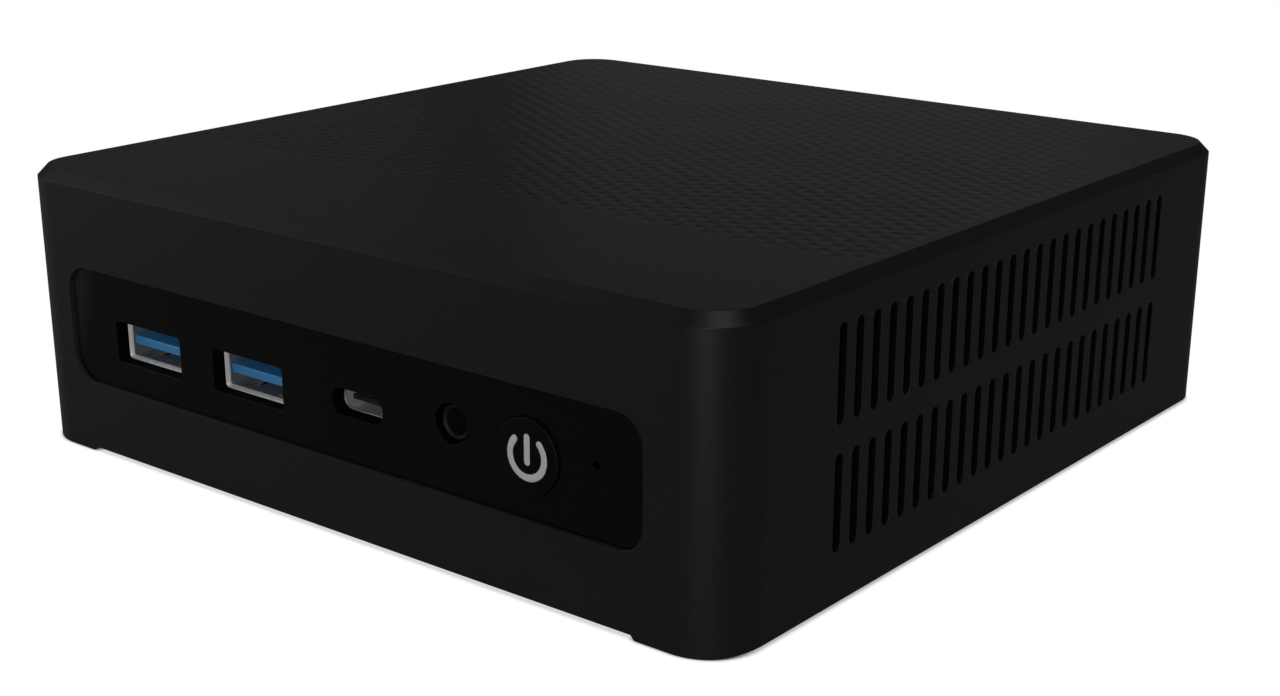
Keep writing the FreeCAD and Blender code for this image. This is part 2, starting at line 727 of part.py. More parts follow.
def battery_holder():
    x, y = BATTERY_AT
    cup = rod_z(x, y, 11.5, (9.4, BOARD_Z[0])).cut(rod_z(x, y, 10.1, (9.0, 12.4)))
    return cup.cut(box((x - 4.0, x + 4.0), (y + 5.0, y + 15.0), (9.0, 12.4)))


def clock_battery():
    x, y = BATTERY_AT
    cell = rod_z(x, y, 10.0, (9.2, 12.4))
    rim = [e for e in cell.Edges if e.BoundBox.ZMax < 9.21]
    return cell.makeChamfer(0.3, rim)


# ---- antennas --------------------------------------------------------------------------------
def antenna_left():
    return box((-ANTENNA_X[1], -ANTENNA_X[0]), ANTENNA_Y, ANTENNA_Z)


def antenna_right():
    return box(ANTENNA_X, ANTENNA_Y, ANTENNA_Z)


def antenna_cable(start_x, across_y, card_spot):
    """Coax from an antenna, past the board's right edge and up under the wifi card."""
    high = ANTENNA_Z[0] - CABLE_R
    points = [
        V(start_x, -54.0, high),
        V(start_x + 5.0, across_y, high),
        V(CABLE_SIDE_X, across_y, high),
        V(CABLE_SIDE_X, across_y, CABLE_LOW_Z),
        V(card_spot[0], card_spot[1], CABLE_LOW_Z),
        V(card_spot[0], card_spot[1], CARD_Z[0]),
    ]
    return wire_run(points, CABLE_R)


def antenna_cable_left():
    return antenna_cable(-11.0, -49.6, (15.0, -41.0))


def antenna_cable_right():
    return antenna_cable(43.0, -51.4, (15.0, -52.5))


# ---- front ports -----------------------------------------------------------------------------
def usb_shell(x, z, y, leg_z):
    """Folded steel shell of a full-size USB socket, open at both ends of y, mouth at y[0]."""
    sheet = 0.35
    width, height = USB_SHELL
    outer = facing_at(x, z, USB_SHELL, 0.6, sorted(y))
    inner = facing_at(x, z, (width - 2 * sheet, height - 2 * sheet), 0.3, sorted((y[0] * 1.1, y[1] * 0.9)))
    body = outer.cut(inner)
    inward = math.copysign(1, y[1] - y[0])
    windows = []
    for dx in (-3.2, 3.2):
        span = sorted((y[0] + inward * 1.3, y[0] + inward * 5.5))
        windows.append(box((x + dx - 1.0, x + dx + 1.0), span, (z - height, z + height)))
    body = without(body, windows)
    if leg_z is None:
        return body
    legs = []
    for side in (-1, 1):
        leg_x = sorted((x + side * width / 2, x + side * (width / 2 - sheet)))
        leg_y = sorted((y[0] + inward * 5.0, y[0] + inward * 7.5))
        legs.append(box(leg_x, leg_y, (leg_z, z)))
    return merged([body] + legs)


def usb_tongue(x, z, y):
    """Tongue and rear block of a full-size USB socket; y runs from the tongue's tip to the block's back."""
    width, thick = USB_TONGUE
    top = z + USB_TONGUE_Z + thick / 2
    tongue = box((x - width / 2, x + width / 2), sorted(y), (top - thick, top))
    inward = math.copysign(1, y[1] - y[0])
    sheet = 0.4
    size = (USB_SHELL[0] - 2 * sheet, USB_SHELL[1] - 2 * sheet)
    block = facing_at(x, z, size, 0.4, sorted((y[1] - inward * 3.5, y[1])))
    return merged([tongue, block])


def front_usb_shells():
    y = (USB_FRONT_Y, USB_REAR_Y)
    return group([usb_shell(x, USB_Z, y, BOARD_Z[1]) for x in USB_X])


def front_usb_inserts():
    return group([usb_tongue(x, USB_Z, USB_TONGUE_Y) for x in USB_X])


def usb_c_shell():
    x, z = USB_C_AT
    sheet = 0.3
    outer = facing_at(x, z, USB_C_SHELL, 1.6, USB_C_Y)
    inner_size = (USB_C_SHELL[0] - 2 * sheet, USB_C_SHELL[1] - 2 * sheet)
    return outer.cut(facing_at(x, z, inner_size, 1.3, (USB_C_Y[0] - 1, USB_C_Y[1] + 1)))


def usb_c_insert():
    x, z = USB_C_AT
    rear = USB_C_Y[1]
    tongue_half = 6.69 / 2
    tongue = box((x - tongue_half, x + tongue_half), (FRONT_Y + 3.1, rear), (z - 0.35, z + 0.35))
    plug = facing_at(x, z, (8.2, 2.5), 1.2, (rear - 2.0, rear))
    back = box((x - 4.3, x + 4.3), (rear, rear + 1.2), (BOARD_Z[1], z + 1.6))
    foot = box((x - 4.3, x + 4.3), (rear - 5.0, rear + 1.2), (BOARD_Z[1], z - USB_C_SHELL[1] / 2))
    return merged([tongue, plug, back, foot])


def audio_jack():
    x, z = AUDIO_AT
    mouth = FRONT_Y + 1.4
    body_y = (-INNER_Y + FLANGE_THICK + 0.2, -48.6)
    body = box((x - 3.1, x + 3.1), body_y, (BOARD_Z[1], z + 3.1))
    nose = rod_y(x, z, 2.25, (mouth, body_y[0]))
    bore = rod_y(x, z, 1.78, (mouth - 1, body_y[1] - 0.9))
    return merged([body, nose]).cut(bore)


# ---- power button and its switch ---------------------------------------------------------------
def icon_arc_point(angle, y):
    x, z = BUTTON_AT
    return V(x + ICON_R * math.sin(angle), y, z + ICON_R * math.cos(angle))


def power_symbol(y):
    """Broken ring with an upright bar in its gap, extruded along Y, with round ends."""
    x, z = BUTTON_AT
    half = ICON_STROKE / 2
    ring = rod_y(x, z, ICON_R + half, y).cut(rod_y(x, z, ICON_R - half, (y[0] - 1, y[1] + 1)))
    gap = math.radians(ICON_GAP_DEG)
    reach = 8.0
    wedge = [
        V(x, y[0] - 1, z),
        V(x - reach * math.sin(gap), y[0] - 1, z + reach * math.cos(gap)),
        V(x + reach * math.sin(gap), y[0] - 1, z + reach * math.cos(gap)),
    ]
    ring = ring.cut(prism(wedge, V(0, y[1] - y[0] + 2, 0)))
    ends = []
    for angle in (-gap, gap):
        centre = icon_arc_point(angle, y[0])
        ends.append(rod_y(centre.x, centre.z, half, y))
    bar_z = [z + end for end in ICON_BAR]
    bar = box((x - half, x + half), y, bar_z)
    tips = [rod_y(x, tip_z, half, y) for tip_z in bar_z]
    return merged([ring] + ends), merged([bar] + tips)


def power_button():
    x, z = BUTTON_AT
    cap = rod_y(x, z, BUTTON_R, (BUTTON_FACE_Y, BUTTON_FLANGE_Y[0]))
    rim = [e for e in cap.Edges if e.BoundBox.YMax < BUTTON_FACE_Y + 0.01]
    cap = cap.makeFillet(0.25, rim)
    flange = rod_y(x, z, BUTTON_R + 0.6, BUTTON_FLANGE_Y)
    cavity = rod_y(x, z, BUTTON_R - 0.6, (ICON_BACK_Y, BUTTON_FLANGE_Y[1] + 1))
    ring, bar = power_symbol((BUTTON_FACE_Y - 1, ICON_BACK_Y + 1))
    return merged([cap, flange]).cut(cavity).cut(ring).cut(bar)


def power_light_guide():
    x, z = BUTTON_AT
    ring, bar = power_symbol((BUTTON_FACE_Y, ICON_BACK_Y + 0.5))
    disc = rod_y(x, z, BUTTON_R - 0.6 - EPS, (ICON_BACK_Y, ICON_BACK_Y + 1.0))
    stem = rod_y(x, z, 1.3, (ICON_BACK_Y, SWITCH_TIP_Y - EPS))
    return merged([disc, ring, bar, stem])


def side_switch_body(x, z, half_width, y, plunger_r, well):
    """Side-acting push switch standing on the board, with a well for its plunger."""
    body = box((x - half_width, x + half_width), y, (BOARD_Z[1], z + 2.6))
    return body.cut(rod_y(x, z, plunger_r + 0.05, (y[0] - 1, y[0] + well)))


def power_switch_body():
    x, z = BUTTON_AT
    return side_switch_body(x, z, 3.1, (-56.0, -52.4), 1.2, 1.6)


def power_switch_plunger():
    x, z = BUTTON_AT
    return rod_y(x, z, 1.2, (SWITCH_TIP_Y, -55.0))


def power_led():
    return box_at(BUTTON_AT[0], -58.1, 1.6, 0.8, (BOARD_Z[1], BOARD_Z[1] + 0.7))


def reset_switch_body():
    x, z = PINHOLE_AT
    return side_switch_body(x, z, 2.2, (-57.0, -53.8), 0.8, 1.2)


def reset_switch_plunger():
    x, z = PINHOLE_AT
    return rod_y(x, z, 0.8, (-58.0, -56.2))


# ---- rear ports ------------------------------------------------------------------------------
def dc_jack():
    x, z = DC_AT
    face = REAR_PORT_Y
    body_y = (48.6, INNER_Y - FLANGE_THICK - 0.2)
    body = box((x - 4.5, x + 4.5), body_y, (BOARD_Z[1], z + 5.0))
    nose = rod_y(x, z, 3.6, (body_y[1], face))
    bore = rod_y(x, z, 2.75, (51.5, face + 1))
    return merged([body, nose]).cut(bore)


def dc_jack_pin():
    x, z = DC_AT
    pin = rod_y(x, z, 1.25, (51.5, REAR_PORT_Y - 0.8))
    tip = [e for e in pin.Edges if e.BoundBox.YMin > REAR_PORT_Y - 0.81]
    return pin.makeFillet(0.5, tip)


def hdmi_shells():
    shells = []
    for x in HDMI_X:
        shell = hdmi_outline(x, 0, (50.5, REAR_PORT_Y)).cut(hdmi_outline(x, -0.35, (50.0, REAR_Y)))
        leg_z = (BOARD_Z[1], HDMI_Z - 2.6)
        legs = [box((x + dx - 0.6, x + dx + 0.6), (55.0, 57.5), leg_z) for dx in (-4.6, 4.6)]
        shells.append(merged([shell] + legs))
    return group(shells)


def hdmi_inserts():
    inserts = []
    for x in HDMI_X:
        tongue = box((x - 5.6, x + 5.6), (51.0, REAR_PORT_Y - 1.0), (HDMI_Z - 0.2, HDMI_Z + 0.9))
        block = hdmi_outline(x, -0.4, (50.5, 54.0))
        inserts.append(merged([tongue, block]))
    return group(inserts)


def ethernet_limits(inset):
    half = ETHERNET_SIZE[0] / 2 - inset
    return (ETHERNET_X - half, ETHERNET_X + half), (BOARD_Z[1], BOARD_Z[1] + ETHERNET_SIZE[1] - inset)


def ethernet_shield():
    sheet = 0.3
    x, z = ethernet_limits(0)
    outer = box(x, (42.0, REAR_PORT_Y), z)
    x, z = ethernet_limits(sheet)
    return outer.cut(box(x, (42.0 + sheet, REAR_Y), (z[0] - 1, z[1])))


def ethernet_jack():
    x, z = ethernet_limits(0.3)
    block = box(x, (42.3, REAR_PORT_Y), z)
    middle = ETHERNET_X
    mouth_y = (48.0, REAR_Y)
    mouth = box((middle - 5.9, middle + 5.9), mouth_y, (19.5, 26.3))
    latch = box((middle - 3.1, middle + 3.1), mouth_y, (17.0, 19.6))
    return without(block, [mouth, latch])


def rear_usb_shells():
    y = (REAR_PORT_Y, REAR_USB_END_Y)
    lower, upper = REAR_USB_Z
    return group([usb_shell(REAR_USB_X, lower, y, BOARD_Z[1]), usb_shell(REAR_USB_X, upper, y, None)])


def rear_usb_insert():
    y = (REAR_PORT_Y - 0.65, REAR_USB_END_Y)
    tongues = [usb_tongue(REAR_USB_X, z, y) for z in REAR_USB_Z]
    half = USB_SHELL[0] / 2
    back_z = (BOARD_Z[1], REAR_USB_Z[1] + USB_SHELL[1] / 2)
    back = box((REAR_USB_X - half, REAR_USB_X + half), (48.0, REAR_USB_END_Y), back_z)
    return merged(tongues + [back])


PIECES = (
    housing, front_panel, rear_panel, bottom_cover, rubber_feet, cover_screws, mount_inserts,
    mainboard, board_screws, processor, board_chips, power_chokes, capacitors,
    heatsink, heatsink_standoffs, heatsink_screws,
    fan_frame, fan_bearing, fan_stator, fan_shaft, fan_magnet_ring, fan_impeller, fan_screws,
    fan_header, fan_cable,
    memory_socket, memory_module, ssd_socket, ssd_module, wifi_socket, wifi_card,
    card_standoffs, card_screws, battery_holder, clock_battery,
    antenna_left, antenna_right, antenna_cable_left, antenna_cable_right,
    front_usb_shells, front_usb_inserts, usb_c_shell, usb_c_insert, audio_jack,
    power_button, power_light_guide, power_switch_body, power_switch_plunger, power_led,
    reset_switch_body, reset_switch_plunger,
    dc_jack, dc_jack_pin, hdmi_shells, hdmi_inserts, ethernet_shield, ethernet_jack,
    rear_usb_shells, rear_usb_insert,
)

os.makedirs("parts", exist_ok=True)
for piece in PIECES:
    piece().exportStep("parts/" + piece.__name__ + ".step")
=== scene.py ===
import math

import bpy
import bmesh
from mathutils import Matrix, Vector
from mathutils.geometry import delaunay_2d_cdt


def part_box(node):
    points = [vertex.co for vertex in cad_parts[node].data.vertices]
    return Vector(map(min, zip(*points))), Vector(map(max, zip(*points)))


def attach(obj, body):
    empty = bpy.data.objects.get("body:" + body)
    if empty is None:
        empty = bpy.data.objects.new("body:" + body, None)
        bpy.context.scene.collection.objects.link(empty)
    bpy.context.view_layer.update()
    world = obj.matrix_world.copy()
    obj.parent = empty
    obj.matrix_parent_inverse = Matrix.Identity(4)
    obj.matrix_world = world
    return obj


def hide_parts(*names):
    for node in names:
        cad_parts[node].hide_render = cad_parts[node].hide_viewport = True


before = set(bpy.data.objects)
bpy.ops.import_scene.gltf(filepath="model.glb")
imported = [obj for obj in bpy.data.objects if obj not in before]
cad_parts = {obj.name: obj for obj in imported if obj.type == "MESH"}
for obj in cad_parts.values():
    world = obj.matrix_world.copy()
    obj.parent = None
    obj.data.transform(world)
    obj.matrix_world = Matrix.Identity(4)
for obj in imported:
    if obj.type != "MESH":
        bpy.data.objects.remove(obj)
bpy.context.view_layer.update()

MM = 0.001


# ---- sizes in millimetres, from the frame --------------------------------------------------------
class Box:
    """Limits of a CAD node in millimetres."""

    def __init__(self, node):
        low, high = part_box(node)
        self.x0, self.y0, self.z0 = (c / MM for c in low)
        self.x1, self.y1, self.z1 = (c / MM for c in high)
        self.cx = (self.x0 + self.x1) / 2
        self.cy = (self.y0 + self.y1) / 2
        self.cz = (self.z0 + self.z1) / 2
        self.w = self.x1 - self.x0
        self.h = self.z1 - self.z0


CASE = Box("housing")
PANEL = Box("front_panel")
REAR = Box("rear_panel")
COVER = Box("bottom_cover")
FEET = Box("rubber_feet")
SCREWS = Box("cover_screws")
INSERTS = Box("mount_inserts")
BOARD = Box("mainboard")
FRONT_USB = Box("front_usb_shells")
FRONT_TONGUE = Box("front_usb_inserts")
REAR_USB = Box("rear_usb_shells")
REAR_TONGUE = Box("rear_usb_insert")
USB_C = Box("usb_c_shell")
USB_C_CORE = Box("usb_c_insert")
AUDIO = Box("audio_jack")
BUTTON = Box("power_button")
GUIDE = Box("power_light_guide")
RESET = Box("reset_switch_plunger")
DC = Box("dc_jack")
DC_PIN = Box("dc_jack_pin")
HDMI = Box("hdmi_shells")
LAN_SHIELD = Box("ethernet_shield")

HALF = CASE.x1
TOP = CASE.z1
LUG = CASE.z0
WALL = 2.0
CORNER_R = 7.7
STRAIGHT = HALF - CORNER_R
BEVEL = 1.5
CEILING = TOP - WALL
FRONT_RELIEF = 0.6
SIDE_RELIEF = 0.5
RELIEF_END = 50.75
RELIEF_SLOPE = 0.7
FLANGE_LIP = 1.6
PANEL_GAP = 0.05
SLOT_COUNT = 24
SLOT_PITCH = 3.62
SLOT_WIDTH = 1.6
SLOT_ROWS = ((7.35, 19.85), (23.45, 35.95))
REAR_SLOT_ROW = (33.1, 37.3)
USB_SIZE = (13.2, 5.7)
# x, y, radius, bore radius, lower end and end of the bore
POSTS = ((56.2, 56.2, 3.6, 1.0, 2.7, 12.7), (49.5, 45.25, 3.0, 0.85, 15.0, 21.0))


# ---- outlines in a plane -------------------------------------------------------------------------
def arc(cx, cy, r, start, end, n):
    """n + 1 points along an arc; angles in degrees."""
    points = []
    for i in range(n + 1):
        a = math.radians(start + (end - start) * i / n)
        points.append((cx + r * math.cos(a), cy + r * math.sin(a)))
    return points


def without_repeats(loop):
    kept = []
    for p in loop:
        if not kept or math.dist(p, kept[-1]) > 1e-5:
            kept.append(p)
    if math.dist(kept[0], kept[-1]) < 1e-5:
        kept.pop()
    return kept


def rounded(x0, x1, y0, y1, r, n=6):
    """Rounded rectangle, anticlockwise."""
    loop = arc(x1 - r, y0 + r, r, -90, 0, n)
    loop += arc(x1 - r, y1 - r, r, 0, 90, n)
    loop += arc(x0 + r, y1 - r, r, 90, 180, n)
    loop += arc(x0 + r, y0 + r, r, 180, 270, n)
    return without_repeats(loop)


def rounded_at(cx, cy, size, r, n=6):
    w, h = size[0] / 2, size[1] / 2
    return rounded(cx - w, cx + w, cy - h, cy + h, r, n)


def circle(cx, cy, r, n=48):
    return arc(cx, cy, r, 0, 360, n)[:-1]


def softened(points, r, n=3):
    """Anticlockwise polygon with every corner rounded to radius r."""
    loop = []
    for i, p in enumerate(points):
        here = Vector(p)
        back = (Vector(points[i - 1]) - here).normalized()
        ahead = (Vector(points[(i + 1) % len(points)]) - here).normalized()
        half = back.angle(ahead) / 2
        centre = here + (back + ahead).normalized() * (r / math.sin(half))
        start = here + back * (r / math.tan(half)) - centre
        end = here + ahead * (r / math.tan(half)) - centre
        a0 = math.atan2(start.y, start.x)
        turn = (math.atan2(end.y, end.x) - a0 + math.pi) % (2 * math.pi) - math.pi
        for k in range(n + 1):
            a = a0 + turn * k / n
            loop.append((centre.x + r * math.cos(a), centre.y + r * math.sin(a)))
    return loop


def grown(loop, g):
    """Anticlockwise loop moved outwards by g."""
    if g == 0:
        return list(loop)
    moved = []
    for i, p in enumerate(loop):
        before = loop[i - 1]
        after = loop[(i + 1) % len(loop)]
        d1 = Vector((p[0] - before[0], p[1] - before[1])).normalized()
        d2 = Vector((after[0] - p[0], after[1] - p[1])).normalized()
        n1 = Vector((d1.y, -d1.x))
        n2 = Vector((d2.y, -d2.x))
        shift = (n1 + n2) * (g / (1 + n1.dot(n2)))
        moved.append((p[0] + shift.x, p[1] + shift.y))
    return moved


def contains(loop, p):
    """True where p is inside the loop."""
    inside = False
    x, y = p
    for i in range(len(loop)):
        x1, y1 = loop[i - 1]
        x2, y2 = loop[i]
        if (y1 > y) != (y2 > y) and x < (x2 - x1) * (y - y1) / (y2 - y1) + x1:
            inside = not inside
    return inside


def rim(r, n=3):
    """(growth, depth) steps that round the mouth of a hole."""
    steps = []
    for i in range(n + 1):
        t = math.radians(90 * i / n)
        steps.append((r * (1 - math.sin(t)), r * (1 - math.cos(t))))
    return steps


def through(thick, front_r, back_r):
    """(growth, depth) steps of a hole through a plate, rounded at both ends."""
    return rim(front_r) + [(g, thick - d) for g, d in reversed(rim(back_r))]


def plate_edge(edge, end):
    """(growth, depth) steps of the side of a plate with a rounded front edge."""
    return [(-edge, 0.0), (-edge * 0.3, edge * 0.3), (0.0, edge), (0.0, end)]


# ---- planes: each gives the place of (u, v) at a depth d below a surface ---------------------------
def facing(y, inward):
    """Upright plane across Y; u is X and v is Z."""
    return lambda u, v, d=0.0: (u, y + inward * d, v)


def lying(z, inward):
    """Level plane; u is X and v is Y."""
    return lambda u, v, d=0.0: (u, v, z + inward * d)


def turned(x, y, quarter):
    """(x, y) turned anticlockwise by a number of quarter turns."""
    for _ in range(quarter % 4):
        x, y = -y, x
    return x, y


def wall_plane(quarter):
    """Outer plane of a wall: 0 front, 1 right, 2 rear, 3 left; u runs along the wall."""
    def place(u, v, d=0.0):
        x, y = turned(u, -HALF + d, quarter)
        return x, y, v
    return place


def mirror_spots(x, y):
    return [(sx * x, sy * y) for sx in (-1, 1) for sy in (-1, 1)]


# ---- mesh building -----------------------------------------------------------------------------------
SHARP = math.radians(35.0)
BACK_EDGE = 0.05


def cad_slot(node):
    """Name of the material slot that the record gives a CAD node."""
    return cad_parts[node].material_slots[0].material.name.split(".")[0]


class Skin:
    """A mesh under construction, in millimetres. Equal points share one vertex."""

    def __init__(self):
        self.points = []
        self.index = {}
        self.faces = []
        self.slots = []
        self.slot = 0

    def vertex(self, p):
        key = (round(p[0], 4), round(p[1], 4), round(p[2], 4))
        if key not in self.index:
            self.index[key] = len(self.points)
            self.points.append((p[0] * MM, p[1] * MM, p[2] * MM))
        return self.index[key]

    def face(self, points):
        ids = []
        for p in points:
            v = self.vertex(p)
            if v not in ids:
                ids.append(v)
        if len(ids) > 2:
            self.faces.append(ids)
            self.slots.append(self.slot)

    def strip(self, a, b, closed=True):
        """Quads between two rows of points."""
        for i in range(len(a) if closed else len(a) - 1):
            j = (i + 1) % len(a)
            self.face((a[i], a[j], b[j], b[i]))

    def rings(self, rows):
        for a, b in zip(rows, rows[1:]):
            self.strip(a, b)

    def swept(self, loop, place, profile):
        """Carries a loop through (growth, depth) steps."""
        self.rings([[place(u, v, d) for u, v in grown(loop, g)] for g, d in profile])

    def lathe(self, place, cx, cy, profile, n=48):
        """Turns a profile of (radius, depth) steps about the plane's normal."""
        self.rings([[place(u, v, d) for u, v in circle(cx, cy, r, n)] for r, d in profile])

    def flat(self, outer, holes, place, d=0.0):
        """Plane region with holes, cut into triangles."""
        loops = [outer] + list(holes)
        points = []
        edges = []
        owner = []
        for k, loop in enumerate(loops):
            start = len(points)
            points += [Vector(p) for p in loop]
            owner += [k] * len(loop)
            edges += [(start + i, start + (i + 1) % len(loop)) for i in range(len(loop))]
        verts, _, tris, origin, _, _ = delaunay_2d_cdt(points, edges, [], 1, 1e-6)
        for tri in tris:
            owners = {owner[origin[v][0]] for v in tri}
            if len(owners) == 1:
                k = owners.pop()
                middle = (verts[tri[0]] + verts[tri[1]] + verts[tri[2]]) / 3
                if contains(loops[k], middle) != (k == 0):
                    continue
            self.face([place(verts[v].x, verts[v].y, d) for v in tri])

    def hole(self, loop, place, thick, mouth, inside):
        """Hole through a plate, with a rounded mouth; its walls take the material number inside."""
        start = rim(mouth)
        self.swept(loop, place, start)
        self.slot = inside
        self.swept(loop, place, through(thick, mouth, BACK_EDGE)[len(start) - 1:])
        self.slot = 0

    def block(self, loop, place, depth, edge=0.1):
        """Closed prism with rounded ends; depth is a (start, end) pair."""
        d0, d1 = depth
        start = [(-g, d0 + d) for g, d in rim(edge, 2)]
        end = [(g, d0 + d1 - d) for g, d in reversed(start)]
        self.swept(loop, place, start + end)
        self.flat(grown(loop, -edge), (), place, d0)
        self.flat(grown(loop, -edge), (), place, d1)

    def ribbon(self, path, side, width, thick):
        """Closed strip of sheet that follows a path; side is the direction of its width."""
        side = Vector(side).normalized()
        rows = []
        for i, p in enumerate(path):
            before = Vector(path[max(i - 1, 0)])
            after = Vector(path[min(i + 1, len(path) - 1)])
            normal = (after - before).cross(side).normalized()
            across = side * (width / 2)
            up = normal * (thick / 2)
            here = Vector(p)
            rows.append([here - across - up, here + across - up, here + across + up, here - across + up])
        self.rings(rows)
        self.face(rows[0])
        self.face(rows[-1])

    def finger(self, place, u, steps, width, thick):
        """Strip of sheet that runs inwards at one u, through (v, depth) steps."""
        self.ribbon([place(u, v, d) for v, d in steps], (1, 0, 0), width, thick)

    def build(self, name, materials, node, body="case", slot=None):
        """Makes the object in place of a CAD node, with outward faces and smooth shading."""
        mesh = bpy.data.meshes.new(name)
        mesh.from_pydata(self.points, [], self.faces)
        for material in materials:
            mesh.materials.append(MATERIALS[material])
        for polygon, number in zip(mesh.polygons, self.slots):
            polygon.material_index = number
        bm = bmesh.new()
        bm.from_mesh(mesh)
        bmesh.ops.recalc_face_normals(bm, faces=bm.faces)
        for face in bm.faces:
            face.smooth = True
        for e in bm.edges:
            if len(e.link_faces) == 2 and e.calc_face_angle(0.0) > SHARP:
                e.smooth = False
        bm.to_mesh(mesh)
        bm.free()
        piece = bpy.data.objects.new(name, mesh)
        bpy.context.scene.collection.objects.link(piece)
        weighted = piece.modifiers.new("even_shading", "WEIGHTED_NORMAL")
        weighted.keep_sharp = True
        weighted.weight = 80
        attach(piece, body)
        slot or cad_slot(node)
        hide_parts(node)


# ---- materials ---------------------------------------------------------------------------------------
MATERIALS = {}


class Nodes:
    """Short way to add and join shader nodes. The material goes into MATERIALS under its name."""

    def __init__(self, name):
        self.material = bpy.data.materials.new(name)
        self.material.use_nodes = True
        MATERIALS[name] = self.material
        self.tree = self.material.node_tree
        self.tree.nodes.clear()
        self.shader = self.tree.nodes.new("ShaderNodeBsdfPrincipled")
        self.output = self.tree.nodes.new("ShaderNodeOutputMaterial")
        self.show(self.shader.outputs[0])
        self.at = self.add("ShaderNodeTexCoord").outputs["Object"]

    def show(self, result):
        self.set(self.output.inputs["Surface"], result)

    def add(self, kind, **values):
        node = self.tree.nodes.new(kind)
        for key, value in values.items():
            if key in node.inputs:
                self.set(node.inputs[key], value)
            else:
                setattr(node, key, value)
        return node

    def set(self, socket, value):
        if isinstance(value, bpy.types.NodeSocket):
            self.tree.links.new(value, socket)
        else:
            socket.default_value = value

    def join(self, kind, values, output=0, **settings):
        """Adds a node whose inputs are given by number, and returns one of its outputs."""
        node = self.add(kind, **settings)
        for number, value in values.items():
            self.set(node.inputs[number], value)
        return node.outputs[output]

    def noise(self, scale, detail=3.0, roughness=0.5, at=None):
        node = self.add("ShaderNodeTexNoise", Vector=at or self.at, Scale=scale, Detail=detail)
        node.inputs["Roughness"].default_value = roughness
        return node.outputs["Fac"]

    def spread(self, value, low, high, from_low=0.3, from_high=0.7):
        """Value mapped from one range to another."""
        values = {0: value, 1: from_low, 2: from_high, 3: low, 4: high}
        return self.join("ShaderNodeMapRange", values)

    def mix(self, factor, a, b):
        """Colour between a and b."""
        return self.join("ShaderNodeMix", {0: factor, 6: a, 7: b}, 2, data_type="RGBA")

    def sum(self, operation, a, b):
        """Result of an arithmetic operation on two numbers."""
        return self.join("ShaderNodeMath", {0: a, 1: b}, operation=operation)

    def edges(self, radius):
        """Normal with softened edges, and a mask that is 1 on the edges."""
        soft = self.add("ShaderNodeBevel", samples=4, Radius=radius)
        true = self.add("ShaderNodeNewGeometry")
        both = {0: soft.outputs["Normal"], 1: true.outputs["Normal"]}
        alike = self.join("ShaderNodeVectorMath", both, "Value", operation="DOT_PRODUCT")
        return soft.outputs["Normal"], self.spread(alike, 1.0, 0.0, 0.8, 0.99)

    def bump(self, height, distance, strength=1.0, normal=None):
        node = self.add("ShaderNodeBump", Height=height, Distance=distance, Strength=strength)
        if normal:
            self.set(node.inputs["Normal"], normal)
        self.set(self.shader.inputs["Normal"], node.outputs["Normal"])

    def finish(self, **inputs):
        for key, value in inputs.items():
            self.set(self.shader.inputs[key.replace("_", " ")], value)
        return self.material


def rgb(level, tint=(1.0, 1.0, 1.0)):
    return (level * tint[0], level * tint[1], level * tint[2], 1.0)


def moulded(
    name, level, roughness, grain=1.0, tint=(1.0, 1.0, 1.0), specular=0.35, edge=0.00012, soft=True, glow=0.0
):
    """Moulded plastic: fine spark-eroded grain, slight mottling, and a painted highlight along the edges."""
    n = Nodes(name)
    fine = n.noise(5200.0, 2.0, 0.6)
    patches = n.noise(60.0, 3.0)
    normal, painted_edge_highlight = n.edges(edge)
    shade = n.mix(n.spread(patches, 0.0, 1.0), rgb(level * 0.9, tint), rgb(level * 1.1, tint))
    shade = n.mix(n.spread(fine, 0.0, 0.3), shade, rgb(level * 1.5, tint))
    # Painted highlight: the edges are lighter, as if they caught the light.
    shade = n.mix(n.spread(painted_edge_highlight, 0.0, 0.5, 0.0, 1.0), shade, rgb(level * 2.0, tint))
    rough = n.spread(n.noise(900.0, 2.0), roughness * 0.95, min(1.0, roughness * 1.05))
    n.bump(fine, 0.00001 * grain, 0.6, normal if soft else None)
    # Where glow is given, the surface shines faintly in its own colour: painted light, though it is no lamp.
    n.finish(Emission_Color=shade, Emission_Strength=glow)
    return n.finish(Base_Color=shade, Roughness=rough, Specular_IOR_Level=specular)


def glossy_panel():
    """Polished black plastic with faint moulding waves, a trace of dust, and lighter towards its left end.
    """
    n = Nodes("panel_gloss")
    waves = n.noise(45.0, 2.0)
    dust = n.spread(n.noise(2600.0, 4.0, 0.7), 0.0, 1.0, 0.66, 0.8)
    normal, painted_edge_highlight = n.edges(0.0001)
    shade = n.mix(dust, rgb(0.0022), rgb(0.005))
    # Painted highlight: the edges are lighter, as if they caught the light.
    shade = n.mix(n.spread(painted_edge_highlight, 0.0, 0.5, 0.0, 1.0), shade, rgb(0.008))
    # Lighter towards the left end, beyond a slanted line.
    spot = n.add("ShaderNodeSeparateXYZ", Vector=n.at)
    lean = n.spread(spot.outputs["Z"], -0.0005, 0.0035, 0.013, 0.025)
    along = n.sum("SUBTRACT", spot.outputs["X"], lean)
    shade = n.mix(n.spread(along, 1.0, 0.0, -0.0545, -0.0515), shade, rgb(0.014))
    n.bump(waves, 0.00002, 0.2, normal)
    return n.finish(Base_Color=shade, Roughness=n.spread(waves, 0.2, 0.26), Specular_IOR_Level=0.16)


